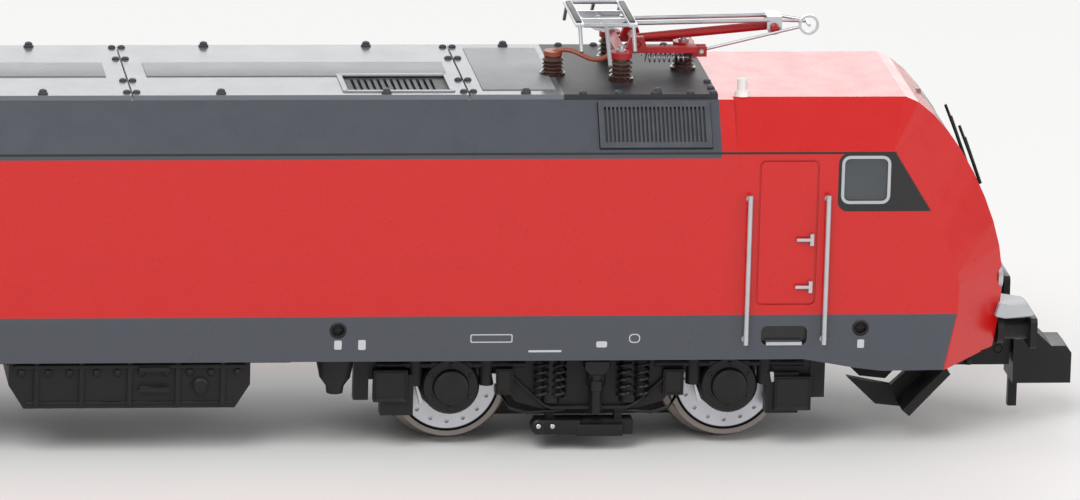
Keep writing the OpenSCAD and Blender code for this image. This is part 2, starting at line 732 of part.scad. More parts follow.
module coupler_pocket() {
    color(black) {
        difference() {
            union() {
                translate([coupler_x, 0, coupler_z - 1.1]) cylinder(r = 1.5, h = 2.2);
                block([coupler_x, -1.3, coupler_z - 1.1], [coupler_x + 5.4, 1.3, coupler_z + 1.1]);
            }
            block([coupler_x + 2.2, -0.95, coupler_z - 0.8], [coupler_x + 6, 0.95, coupler_z + 0.8]);
            bar_y(coupler_x + 4.6, coupler_z, 0.3, -2, 2);
        }
        translate([coupler_x, 0, coupler_z + 1]) cylinder(r = 0.5, h = 2);
    }
}

module coupler_head() {
    tip = coupler_x + coupler_len;
    z0 = 2.9;
    color(black) {
        block([coupler_x + 2.7, -0.7, coupler_z - 0.4], [coupler_x + 5.8, 0.7, coupler_z + 0.4]);
        bar_y(coupler_x + 4.6, coupler_z, 0.25, -1.3, 1.3);
        difference() {
            slab_y(-1.75, 1.75) polygon([
                [coupler_x + 5.6, z0], [tip, z0], [tip, z0 + 2.1], [tip - 0.4, z0 + 2.6], [tip - 1.4, z0 + 2.6],
                [tip - 2.9, z0 + 4.0], [tip - 3.1, z0 + 3.8], [tip - 2.7, z0 + 3.1], [coupler_x + 5.6, z0 + 3.1]
            ]);
            block([tip - 1.5, -1.1, z0 - 1], [tip - 0.5, 1.1, z0 + 1.9]);
        }
        block([coupler_x + 5.6, -0.3, z0 - 2.0], [coupler_x + 6.2, 0.3, z0 + 0.1]);
    }
}

// Drive ---------------------------------------------------------------------

module drive_shaft() {
    reach = pivot_x - worm_len / 2;
    color(silver) {
        bar_x(-reach, reach, 0, shaft_z, shaft_r);
        both_ends() bar_x(pivot_x + worm_len / 2, pivot_x + 6.4, 0, shaft_z, shaft_r);
    }
}

module motor_armature() {
    color([0.6, 0.35, 0.15]) difference() {
        bar_x(-can_half_len + 2.6, can_half_len - 2.6, 0, shaft_z, armature_r);
        bar_x(-can_half_len, can_half_len, 0, shaft_z, shaft_r);
        for (k = [0:4]) translate([0, 0, shaft_z]) rotate([k * 72, 0, 0])
            block([-can_half_len, -0.35, armature_r - 1.6], [can_half_len, 0.35, armature_r + 1]);
    }
}

module flywheels() {
    color(brass) both_ends() difference() {
        bar_x(flywheel_x0, flywheel_x0 + flywheel_len, 0, shaft_z, flywheel_r);
        bar_x(flywheel_x0 - 1, flywheel_x0 + flywheel_len + 1, 0, shaft_z, shaft_r);
        translate([flywheel_x0 - 1, 0, shaft_z]) rotate([0, 90, 0]) difference() {
            cylinder(r = flywheel_r - 1, h = 1.4);
            cylinder(r = 1.6, h = 3);
        }
    }
}

// Single-start worm: a cam-shaped section, twisted once for each lead.
worm_core_r = 1.15;
worm_tip_r = worm_pitch_r + 0.12;
worm_steps = 14;

function worm_section_r(a) =
    let (lobe = 58, flank = 26, d = abs(a > 180 ? 360 - a : a))
    d < lobe ? worm_tip_r : d < lobe + flank ? worm_tip_r - (worm_tip_r - worm_core_r) * (d - lobe) / flank : worm_core_r;

module worm_body() {
    turns = worm_len / worm_lead;
    rotate([0, 0, 180 - 180 * turns])
        linear_extrude(height = worm_len, twist = -360 * turns, slices = round(9 * turns), center = true)
        polygon([for (k = [0:worm_steps - 1]) let (a = k * 360 / worm_steps)
            worm_section_r(a) * [cos(a), sin(a)]]);
}

module worms() {
    color(silver) for (x = [-pivot_x, pivot_x]) translate([x, 0, shaft_z]) rotate([0, 90, 0]) worm_body();
}

// Spur gear outline with straight flanks; its first tooth points at angle phase.
module gear_outline(teeth, phase, root_cut = 0.5, tip_add = 0.36) {
    pitch_r = gear_m * teeth / 2;
    root_r = pitch_r - root_cut;
    tip_r = pitch_r + tip_add;
    step = 360 / teeth;
    polygon([for (k = [0:teeth - 1], p = [[-0.29, root_r], [-0.12, tip_r], [0.12, tip_r], [0.29, root_r]])
        let (a = phase + step * (k + p[0])) p[1] * [cos(a), sin(a)]]);
}

// Phase of a gear that meshes with another one, for centres in direction dir from the first.
function meshed(teeth_a, phase_a, teeth_b, dir) =
    let (u = (dir - phase_a) * teeth_a / 360) dir + 180 - (0.5 - u) * 360 / teeth_b;

// The worm wheel's top faces a gap of the worm's thread.
worm_wheel_phase = 90;
function idler_dir(s) = atan2(idler_z - worm_wheel_z, s * idler_x);
function idler_phase(s) = meshed(worm_wheel_teeth, worm_wheel_phase, idler_teeth, idler_dir(s));
function axle_dir(s) = atan2(axle_z - idler_z, s * (wheelbase / 2 - idler_x));
function axle_phase(s) = meshed(idler_teeth, idler_phase(s), axle_teeth, axle_dir(s));

module worm_wheel() {
    color([0.9, 0.88, 0.8]) translate([0, 0, worm_wheel_z]) difference() {
        slab_y(-gear_w / 2, gear_w / 2) gear_outline(worm_wheel_teeth, worm_wheel_phase, 0.45, 0.12);
        bar_y(0, 0, gear_pin_r + run_gap, -5, 5);
    }
}

module idler(s) {
    color([0.9, 0.88, 0.8]) translate([s * idler_x, 0, idler_z]) difference() {
        slab_y(-gear_w / 2, gear_w / 2) gear_outline(idler_teeth, idler_phase(s), 0.52, 0.34);
        bar_y(0, 0, gear_pin_r + run_gap, -5, 5);
    }
}

// Bogie ---------------------------------------------------------------------

module axle_gear(s) {
    color([0.15, 0.15, 0.16]) translate([s * wheelbase / 2, 0, axle_z]) difference() {
        union() {
            slab_y(-gear_w / 2, gear_w / 2) gear_outline(axle_teeth, axle_phase(s), 0.52, 0.34);
            bar_y(0, 0, 1.1, -1.25, 1.25);
        }
        bar_y(0, 0, axle_r, -5, 5);
    }
}

module wheel() {
    inner = back_to_back / 2;
    rotate([-90, 0, 0]) difference() {
        rotate_extrude($fn = 96) polygon([
            [0, inner], [tread_r + flange_h - 0.12, inner], [tread_r + flange_h, inner + 0.15],
            [tread_r + flange_h - 0.12, inner + 0.42], [tread_r + 0.06, inner + 0.6],
            [tread_r, inner + 0.75], [tread_r - 0.06, inner + wheel_w], [tread_r - 0.4, inner + wheel_w],
            [tread_r - 0.45, inner + wheel_w - 0.18], [tread_r - 0.5, inner + wheel_w - 0.05],
            [2.1, inner + wheel_w - 0.05], [2.0, inner + wheel_w - 0.3], [1.1, inner + wheel_w - 0.3],
            [1.0, inner + wheel_w - 0.05], [0, inner + wheel_w - 0.05]
        ]);
        for (k = [0:15]) rotate([0, 0, k * 22.5]) translate([2.85, 0, inner + wheel_w - 0.3])
            cylinder(r = 0.14, h = 1, $fn = 16);
    }
}

module wheels(s) {
    color(silver) translate([s * wheelbase / 2, 0, axle_z]) both_sides() {
        wheel();
        bar_y(0, 0, axle_r, 0.12, back_to_back / 2 + 0.2);
    }
}

module case_outline() {
    a = wheelbase / 2;
    polygon([
        [-a - case_over, cover_z1], [a + case_over, cover_z1], [a + case_over, 6.6], [a + 1.5, 8.0],
        [a - 1.5, 9.2], [-a + 1.5, 9.2], [-a - 1.5, 8.0], [-a - case_over, 6.6]
    ]);
}

module bogie_frame() {
    a = wheelbase / 2;
    color(black) difference() {
        union() {
            slab_y(-case_y, case_y) case_outline();
            translate([0, 0, boss_z0]) cylinder(r = boss_r, h = boss_z1 - boss_z0);
            block([-3.6, -side_y0, 6.9], [3.6, side_y0, 8.2]);
            for (s = [-1, 1]) block([s * (a + 5.6) - 0.7, -side_y0, 5.2], [s * (a + 5.6) + 0.7, side_y0, 6.3]);
            block([-a - 5.6, -1.4, 5.2], [a + 5.6, 1.4, 6.3]);
        }
        slab_y(-case_y + case_wall, case_y - case_wall) polygon([
            [-a - 3, cover_z1 - 1], [a + 3, cover_z1 - 1], [a + 3, 6.2], [a + 1, 7.4], [gear_room_x, 8.2],
            [gear_room_x, gear_room_z], [worm_wheel_room, gear_room_z], [worm_wheel_room, boss_z1 + 1],
            [-worm_wheel_room, boss_z1 + 1], [-worm_wheel_room, gear_room_z],
            [-gear_room_x, gear_room_z], [-gear_room_x, 8.2], [-a - 1, 7.4], [-a - 3, 6.2]
        ]);
        for (s = [-1, 1]) {
            bar_y(s * a, axle_z, axle_r + run_gap, -10, 10);
            bar_y(s * idler_x, idler_z, gear_pin_r, -case_y - 1, case_y + 1);
        }
        bar_y(0, worm_wheel_z, gear_pin_r, -boss_r, boss_r);
    }
    color(silver) {
        for (s = [-1, 1]) bar_y(s * idler_x, idler_z, gear_pin_r, -case_y, case_y);
        bar_y(0, worm_wheel_z, gear_pin_r, -boss_r + 0.6, boss_r - 0.6);
    }
}

// One side frame of the bogie, seen from outside: frame beam, axle boxes, damper, brake block, boxes.
module side_frame() {
    a = wheelbase / 2;
    slab_y(side_y0, side_y1) polygon([
        [-a - 6.4, 5.0], [-a - 3.6, 5.0], [-a - 2.2, 5.9], [-a + 2.6, 5.9], [-a + 4.4, 3.4], [-3.2, 2.9],
        [3.2, 2.9], [a - 4.4, 3.4], [a - 2.6, 5.9], [a + 2.2, 5.9], [a + 3.6, 5.0], [a + 6.4, 5.0],
        [a + 6.4, 6.4], [-a - 6.4, 6.4]
    ]);
    for (s = [-1, 1]) {
        block([s * a - 1.35, side_y0, 3.4], [s * a + 1.35, side_y1 + 0.3, 6.2]);
        bar_y(s * a, axle_z, 1.15, side_y0, side_y1 + 0.65);
        for (d = [-2.4, 2.4]) translate([s * a + d, side_y1 - 0.1, 4.6]) cylinder(r = 0.5, h = 1.8);
        block([s * (a + 3.6) - 1.1, side_y0, 2.6], [s * (a + 3.6) + 1.1, side_y1 + 0.4, 5.4]);
        block([s * (a + 6.0) - 0.5, side_y0, 3.6], [s * (a + 6.0) + 0.5, side_y1 + 0.1, 6.4]);
    }
    translate([0.4, side_y1 + 0.35, 2.9]) cylinder(r = 0.45, h = 3.6);
    translate([0.4, side_y1 + 0.35, 4.6]) cylinder(r = 0.62, h = 1.9);
    for (s = [-1, 1]) translate([s * 2.6, side_y1 - 0.15, 3.4]) cylinder(r = 0.62, h = 3);
    block([-3.6, side_y0 - 0.4, 1.15], [3.0, side_y1 + 0.2, 2.1]);
    for (x = [-2.6, 2.0]) block([x - 0.25, side_y0, 2.0], [x + 0.25, side_y1 - 0.1, 3.2]);
    bar_x(-a - 5, -a + 5, side_y1 + 0.05, 6.0, 0.22);
    bar_x(a - 5, a + 5, side_y1 + 0.05, 6.0, 0.22);
}

module bogie_sides() {
    a = wheelbase / 2;
    color(black) {
        both_sides() side_frame();
        both_sides() {
            block([-3.5, side_y0, 6.3], [3.5, side_y1, 8.2]);
            for (s = [-1, 1]) block([s * (a + 5.6) - 0.7, side_y0, 5.2], [s * (a + 5.6) + 0.7, side_y1, 6.3]);
        }
    }
}

module bogie_cover() {
    a = wheelbase / 2;
    color(black) {
        block([-a - case_over, -case_y, cover_z0], [a + case_over, case_y, cover_z1]);
    }
}

// Places --------------------------------------------------------------------

module front_bogie() translate([pivot_x, 0, 0]) children();
module rear_bogie() translate([-pivot_x, 0, 0]) children();
module rear() rotate([0, 0, 180]) children();

body_shell();
roof_panels();
roof_vents();
side_grilles();
cab_glazing();
handrails();
door_fittings();
wipers();
horns();
roof_insulators();
roof_conductors();
chassis_block();
motor_can();
circuit_boards();
light_guides();
chassis_screws();
shaft_bearings();
underframe_tank();
buffers();
rail_guards();
drive_shaft();
motor_armature();
flywheels();
worms();
coupler_pocket();  // coupler_pocket_front
coupler_head();  // coupler_head_front
rear() coupler_pocket();  // coupler_pocket_rear
rear() coupler_head();  // coupler_head_rear
panto_base();  // panto_base_front
panto_lower_arm();  // panto_lower_arm_front
panto_upper_arm();  // panto_upper_arm_front
panto_head();  // panto_head_front
panto_rod();  // panto_rod_front
rear() panto_base();  // panto_base_rear
rear() panto_lower_arm();  // panto_lower_arm_rear
rear() panto_upper_arm();  // panto_upper_arm_rear
rear() panto_head();  // panto_head_rear
rear() panto_rod();  // panto_rod_rear
panto_springs();
front_bogie() bogie_frame();  // bogie_frame_front
front_bogie() bogie_sides();  // bogie_sides_front
front_bogie() bogie_cover();  // bogie_cover_front
front_bogie() worm_wheel();  // worm_wheel_front
front_bogie() idler(1);  // idler_front_a
front_bogie() idler(-1);  // idler_front_b
front_bogie() wheels(1);  // wheels_front_a
front_bogie() axle_gear(1);  // axle_gear_front_a
front_bogie() wheels(-1);  // wheels_front_b
front_bogie() axle_gear(-1);  // axle_gear_front_b
rear_bogie() bogie_frame();  // bogie_frame_rear
rear_bogie() bogie_sides();  // bogie_sides_rear
rear_bogie() bogie_cover();  // bogie_cover_rear
rear_bogie() worm_wheel();  // worm_wheel_rear
rear_bogie() idler(1);  // idler_rear_a
rear_bogie() idler(-1);  // idler_rear_b
rear_bogie() wheels(1);  // wheels_rear_a
rear_bogie() axle_gear(1);  // axle_gear_rear_a
rear_bogie() wheels(-1);  // wheels_rear_b
rear_bogie() axle_gear(-1);  // axle_gear_rear_b
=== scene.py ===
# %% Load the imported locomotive
import json
import math

import bmesh
import bpy
from mathutils import Matrix, Vector


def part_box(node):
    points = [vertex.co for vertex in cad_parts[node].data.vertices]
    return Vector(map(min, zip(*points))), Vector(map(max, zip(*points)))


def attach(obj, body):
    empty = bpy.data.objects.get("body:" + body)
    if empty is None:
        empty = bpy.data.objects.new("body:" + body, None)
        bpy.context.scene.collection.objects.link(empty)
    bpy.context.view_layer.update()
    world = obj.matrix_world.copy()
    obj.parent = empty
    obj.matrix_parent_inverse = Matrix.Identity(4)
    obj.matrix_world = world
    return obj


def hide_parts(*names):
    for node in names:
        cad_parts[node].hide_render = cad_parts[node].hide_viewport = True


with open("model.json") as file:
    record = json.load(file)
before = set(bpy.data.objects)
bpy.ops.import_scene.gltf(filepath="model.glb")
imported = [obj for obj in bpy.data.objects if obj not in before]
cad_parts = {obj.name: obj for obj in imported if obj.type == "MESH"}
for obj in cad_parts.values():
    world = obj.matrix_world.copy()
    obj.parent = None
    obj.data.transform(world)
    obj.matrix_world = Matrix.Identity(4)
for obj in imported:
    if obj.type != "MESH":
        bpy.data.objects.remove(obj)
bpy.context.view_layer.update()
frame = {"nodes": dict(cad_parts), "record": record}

MM = 0.001
nodes = frame["nodes"]

# %% [markdown]
# A product view of a small model is taken from far away with a long lens, so that its long side stays
# straight. The camera stands left of the middle, looks slightly to the right and down, and leans a little.
# A world that is white only where the camera or glass looks at it gives the pale studio background
# without pouring more light on the paint. A wide softbox behind it, which the camera doesn't see, shines
# along the roof, so that smooth panels mirror it and rough ones stay dull.

# %% Camera
TURN = math.radians(7.434)
PITCH = math.radians(14.848)
LEAN = math.radians(1.662)
CAMERA_PLACE = Vector((-55.674, -643.583, 183.981)) * MM
SENSOR = 36.0
LENS = 332.44

camera_data = bpy.data.cameras.new("studio_camera")
camera_data.sensor_width = SENSOR
camera_data.lens = LENS
camera_data.clip_start = 0.01
camera = bpy.data.objects.new("studio_camera", camera_data)
bpy.context.scene.collection.objects.link(camera)
camera.matrix_world = (
    Matrix.Translation(CAMERA_PLACE)
    @ Matrix.Rotation(-TURN, 4, "Z")
    @ Matrix.Rotation(math.pi / 2 - PITCH, 4, "X")
    @ Matrix.Rotation(LEAN, 4, "Z")
)
bpy.context.scene.camera = camera
bpy.context.scene.view_settings.view_transform = "Standard"

# %% World, floor and lamps
WORLD_FILL = 0.55
FLOOR_SIZE = 6.0


def plain_world():
    world = bpy.data.worlds.new("pale_studio")
    world.use_nodes = True
    tree = world.node_tree
    tree.nodes.clear()
    out = tree.nodes.new("ShaderNodeOutputWorld")
    mix = tree.nodes.new("ShaderNodeMixShader")
    fill = tree.nodes.new("ShaderNodeBackground")
    fill.inputs["Strength"].default_value = WORLD_FILL
    white = tree.nodes.new("ShaderNodeBackground")
    white.inputs["Strength"].default_value = 1.0
    for background in (fill, white):
        background.inputs["Color"].default_value = (1, 1, 1, 1)
    path = tree.nodes.new("ShaderNodeLightPath")
    seen = None
    for name in ("Is Camera Ray", "Is Transmission Ray"):
        if seen is None:
            seen = path.outputs[name]
            continue
        both = tree.nodes.new("ShaderNodeMath")
        both.operation = "MAXIMUM"
        tree.links.new(seen, both.inputs[0])
        tree.links.new(path.outputs[name], both.inputs[1])
        seen = both.outputs[0]
    tree.links.new(seen, mix.inputs[0])
    tree.links.new(fill.outputs[0], mix.inputs[1])
    tree.links.new(white.outputs[0], mix.inputs[2])
    tree.links.new(mix.outputs[0], out.inputs["Surface"])
    bpy.context.scene.world = world


def area_lamp(name, place, target, size, power):
    data = bpy.data.lights.new(name, "AREA")
    data.size = size
    data.energy = power
    lamp = bpy.data.objects.new(name, data)
    bpy.context.scene.collection.objects.link(lamp)
    lamp.location = place
    lamp.rotation_euler = (Vector(target) - Vector(place)).to_track_quat("-Z", "Y").to_euler()
    return lamp


plain_world()
area_lamp("key_lamp", (-0.35, -0.75, 0.85), (0, 0, 0.01), 0.6, 7.0)
area_lamp("fill_lamp", (0.8, -0.5, 0.45), (0.03, 0, 0.01), 0.5, 2.2)
softbox = area_lamp("back_softbox", (0, 2.6, 0.9), (0, 0, 0), 2.4, 30.0)
softbox.visible_camera = False

# %% [markdown]
# Every finish is made of a few shared effects: a fine grain that breaks up the gloss, a film of dust on
# faces that look up, and a rounded patch that marks out a painted field. Each is a node group with named
# sockets, so that one material can ask for a coarse grain and another for a fine one. The groups put out
# only masks and heights; the shader itself stays in the material.

# %% Node helpers
def new_group(name, inputs, outputs):
    tree = bpy.data.node_groups.new(name, "ShaderNodeTree")
    for label, kind, value in inputs:
        socket = tree.interface.new_socket(label, in_out="INPUT", socket_type=kind)
        if value is not None:
            socket.default_value = value
    for label, kind in outputs:
        tree.interface.new_socket(label, in_out="OUTPUT", socket_type=kind)
    return tree, tree.nodes.new("NodeGroupInput"), tree.nodes.new("NodeGroupOutput")


def put(tree, socket, value):
    """A socket takes a link from another socket, or a plain value."""
    if isinstance(value, bpy.types.NodeSocket):
        tree.links.new(value, socket)
    elif value is not None:
        socket.default_value = value


def calc(tree, operation, a, b=None, c=None):
    node = tree.nodes.new("ShaderNodeMath")
    node.operation = operation
    for socket, value in zip(node.inputs, (a, b, c)):
        put(tree, socket, value)
    return node.outputs[0]


def vector_calc(tree, operation, a, b=None):
    node = tree.nodes.new("ShaderNodeVectorMath")
    node.operation = operation
    for socket, value in zip(node.inputs, (a, b)):
        put(tree, socket, value)
    return node.outputs["Value" if operation in ("LENGTH", "DOT_PRODUCT") else "Vector"]


def noise(tree, coordinates, scale, detail=3.0, roughness=0.55):
    node = tree.nodes.new("ShaderNodeTexNoise")
    put(tree, node.inputs["Vector"], coordinates)
    put(tree, node.inputs["Scale"], scale)
    put(tree, node.inputs["Detail"], detail)
    put(tree, node.inputs["Roughness"], roughness)
    return node.outputs["Fac"]


def spread(tree, value, low, high, to_low=0.0, to_high=1.0):
    node = tree.nodes.new("ShaderNodeMapRange")
    put(tree, node.inputs["Value"], value)
    for label, number in (("From Min", low), ("From Max", high), ("To Min", to_low), ("To Max", to_high)):
        put(tree, node.inputs[label], number)
    return node.outputs["Result"]


def blend_colour(tree, mask, first, second):
    node = tree.nodes.new("ShaderNodeMix")
    node.data_type = "RGBA"
    put(tree, node.inputs[0], mask)
    put(tree, node.inputs[6], first)
    put(tree, node.inputs[7], second)
    return node.outputs[2]


def srgb(red, green, blue):
    """A colour as a paint chart gives it, 0 to 255, in the renderer's linear numbers."""
    def linear(v):
        v = v / 255
        return v / 12.92 if v <= 0.04045 else ((v + 0.055) / 1.055) ** 2.4
    return (linear(red), linear(green), linear(blue), 1.0)


# %% Shared effects
def make_fine_grain():
    """Tone and height of a fine moulded or sprayed surface. Scale is in grains to the metre."""
    tree, source, sink = new_group(
        "fine_grain",
        [("Scale", "NodeSocketFloat", 4000.0), ("Softness", "NodeSocketFloat", 0.5)],
        [("Tone", "NodeSocketFloat"), ("Height", "NodeSocketFloat")],
    )
    place = tree.nodes.new("ShaderNodeTexCoord").outputs["Object"]
    fine = noise(tree, place, source.outputs["Scale"], 2.0, source.outputs["Softness"])
    broad = noise(tree, place, calc(tree, "MULTIPLY", source.outputs["Scale"], 0.06), 2.0)
    tree.links.new(broad, sink.inputs["Tone"])
    tree.links.new(fine, sink.inputs["Height"])
    return tree


def make_dust_film():
    """A mask of settled dust: stronger on faces that look up, and patchy."""
    tree, source, sink = new_group(
        "dust_film",
        [("Amount", "NodeSocketFloat", 0.2), ("Scale", "NodeSocketFloat", 900.0)],
        [("Mask", "NodeSocketFloat")],
    )
    place = tree.nodes.new("ShaderNodeTexCoord").outputs["Object"]
    normal = tree.nodes.new("ShaderNodeNewGeometry").outputs["Normal"]
    split = tree.nodes.new("ShaderNodeSeparateXYZ")
    tree.links.new(normal, split.inputs[0])
    up = spread(tree, split.outputs["Z"], 0.2, 1.0)
    patchy = spread(tree, noise(tree, place, source.outputs["Scale"], 4.0), 0.35, 0.7)
    dust = calc(tree, "MULTIPLY", calc(tree, "MULTIPLY", up, patchy), source.outputs["Amount"])
    tree.links.new(dust, sink.inputs["Mask"])
    return tree


def make_rounded_patch():
    """A mask that is 1 inside a rectangle with rounded corners, in the X and Z of Point."""
    tree, source, sink = new_group(
        "rounded_patch",
        [("Point", "NodeSocketVector", None), ("Centre", "NodeSocketVector", None),
         ("Half Size", "NodeSocketVector", None), ("Corner", "NodeSocketFloat", 0.0003),
         ("Edge", "NodeSocketFloat", 0.00002)],
        [("Mask", "NodeSocketFloat")],
    )
    away = vector_calc(tree, "ABSOLUTE", vector_calc(tree, "SUBTRACT", source.outputs["Point"],
                                                     source.outputs["Centre"]))
    split = tree.nodes.new("ShaderNodeSeparateXYZ")
    tree.links.new(vector_calc(tree, "SUBTRACT", away, source.outputs["Half Size"]), split.inputs[0])
    corner = source.outputs["Corner"]
    dx = calc(tree, "MAXIMUM", calc(tree, "ADD", split.outputs["X"], corner), 0.0)
    dz = calc(tree, "MAXIMUM", calc(tree, "ADD", split.outputs["Z"], corner), 0.0)
    distance = calc(tree, "SQRT", calc(tree, "ADD", calc(tree, "MULTIPLY", dx, dx),
                                       calc(tree, "MULTIPLY", dz, dz)))
    outside = calc(tree, "SUBTRACT", distance, corner)
    mask = calc(tree, "SUBTRACT", 1.0, calc(tree, "DIVIDE", outside, source.outputs["Edge"]))
    clamp = tree.nodes.new("ShaderNodeClamp")
    tree.links.new(mask, clamp.inputs["Value"])
    tree.links.new(clamp.outputs[0], sink.inputs["Mask"])
    return tree


FINE_GRAIN = make_fine_grain()
DUST_FILM = make_dust_film()
ROUNDED_PATCH = make_rounded_patch()


def use_group(tree, group, **values):
    node = tree.nodes.new("ShaderNodeGroup")
    node.node_tree = group
    for label, value in values.items():
        put(tree, node.inputs[label.replace("_", " ")], value)
    return node


# %% A material to start from
DUST_COLOUR = srgb(196, 190, 180)


def finish_material(name, colour, rough=0.45, metal=0.0, grain=4000.0, depth=0.00001, tone=0.06, dust=0.1,
                    coat=0.0, specular=0.5, colour_maker=None, rough_maker=None):
    """A surface with tone, grain and a film of dust; colour_maker may paint fields over the colour."""
    material = bpy.data.materials.new(name)
    material.use_nodes = True
    tree = material.node_tree
    tree.nodes.clear()
    out = tree.nodes.new("ShaderNodeOutputMaterial")
    shader = tree.nodes.new("ShaderNodeBsdfPrincipled")
    tree.links.new(shader.outputs[0], out.inputs["Surface"])
    grain_node = use_group(tree, FINE_GRAIN, Scale=grain)
    dust_node = use_group(tree, DUST_FILM, Amount=dust)
    base = colour_maker(tree) if colour_maker else None
    if base is None:
        rgb = tree.nodes.new("ShaderNodeRGB")
        rgb.outputs[0].default_value = colour
        base = rgb.outputs[0]
    shade = tree.nodes.new("ShaderNodeHueSaturation")
    tree.links.new(base, shade.inputs["Color"])
    put(tree, shade.inputs["Value"], spread(tree, grain_node.outputs["Tone"], 0.3, 0.7, 1 - tone, 1 + tone))
    tree.links.new(blend_colour(tree, dust_node.outputs["Mask"], shade.outputs[0], DUST_COLOUR),
                   shader.inputs["Base Color"])
    rough_value = spread(tree, grain_node.outputs["Tone"], 0.3, 0.7, rough - 0.05, rough + 0.05)
    if rough_maker:
        rough_value = rough_maker(tree, rough_value)
    dusty = calc(tree, "ADD", rough_value, calc(tree, "MULTIPLY", dust_node.outputs["Mask"], 0.35))
    tree.links.new(dusty, shader.inputs["Roughness"])
    shader.inputs["Metallic"].default_value = metal
    shader.inputs["Coat Weight"].default_value = coat
    shader.inputs["Coat Roughness"].default_value = 0.15
    shader.inputs["Specular IOR Level"].default_value = specular
    bump = tree.nodes.new("ShaderNodeBump")
    bump.inputs["Distance"].default_value = depth
    bump.inputs["Strength"].default_value = 0.6
    tree.links.new(grain_node.outputs["Height"], bump.inputs["Height"])
    tree.links.new(bump.outputs[0], shader.inputs["Normal"])
    return material


def paint_node(name, material):
    mesh = nodes[name].data
    mesh.materials.clear()
    mesh.materials.append(material)


# %% [markdown]
# The casing is one moulding that is sprayed in two colours: red, with a grey skirt and a grey band along
# the roof edge. A mask from the surface's own place keeps the borders sharp on every view. The black
# surround of the side windows and the small blank plates on the skirt are printed fields, so they are
# rounded patches in the same material and need no geometry.

# %% Casing paint
RED = srgb(198, 12, 8)
GREY = srgb(66, 70, 79)
# This black is the printed fields' colour, and also painted shade inside the step recess.
PRINT_AND_SHADE_BLACK = srgb(14, 14, 15)
PLATE_PALE = srgb(190, 194, 198)
SKIRT_TOP = 9.88 * MM
BAND_LOW = 20.65 * MM
BAND_END = 39.08 * MM
CREASE_FOOT = 54.5 * MM
CREASE_FOOT_Z = 6.0 * MM
CREASE_LEAN = 0.205
SIDE_Y = 9.3 * MM
BORDER = 0.00003


def side_point(tree):
    """(|x|, 0, z), |y|, z: both ends and both sides share one set of painted fields."""
    place = tree.nodes.new("ShaderNodeTexCoord").outputs["Object"]
    split = tree.nodes.new("ShaderNodeSeparateXYZ")
    tree.links.new(place, split.inputs[0])
    along = calc(tree, "ABSOLUTE", split.outputs["X"])
    point = tree.nodes.new("ShaderNodeCombineXYZ")
    tree.links.new(along, point.inputs["X"])
    tree.links.new(split.outputs["Z"], point.inputs["Z"])
    return point.outputs[0], along, calc(tree, "ABSOLUTE", split.outputs["Y"]), split.outputs["Z"]


def below(tree, value, limit):
    return spread(tree, value, calc(tree, "ADD", limit, BORDER), calc(tree, "SUBTRACT", limit, BORDER))


def patch(tree, point, centre, half, corner):
    node = use_group(tree, ROUNDED_PATCH, Point=point, Corner=corner * MM)
    node.inputs["Centre"].default_value = Vector(centre) * MM
    node.inputs["Half Size"].default_value = Vector(half) * MM
    return node.outputs["Mask"]


WINDOW_FIELD = ((50.6, 0, 18.99), (3.65, 0, 2.0), 0.7)
DRIP_LINE = ((25.4, 0, 21.0), (25.4, 0, 0.07), 0.05)
DRIP_Y = 9.2 * MM
SCREEN_FIELD = ((0, 0, 19.5), (6.0, 0, 2.75), 0.8)
FRONT_X = 50.5 * MM
PLATES = [
    ((13.75, 0, 7.95), (0.24, 0, 0.3), 0.08),
    ((15.35, 0, 7.95), (0.24, 0, 0.33), 0.08),
    ((27.6, 0, 7.45), (1.1, 0, 0.06), 0.05),
    ((31.4, 0, 7.9), (0.35, 0, 0.2), 0.1),
    ((48.85, 0, 7.85), (0.22, 0, 0.28), 0.08),
]


FRAMED_FIELDS = [((24.0, 0, 8.35), (1.4, 0, 0.28), 0.1), ((33.6, 0, 8.3), (0.36, 0, 0.3), 0.25)]
FRAME_LINE = 0.07
# Painted shade: the inner faces of the step recess are coloured black, where shadow falls.
STEP_RECESS_SHADE = ((43.645, 0, 8.45), (1.6, 0, 0.7), 0.4)


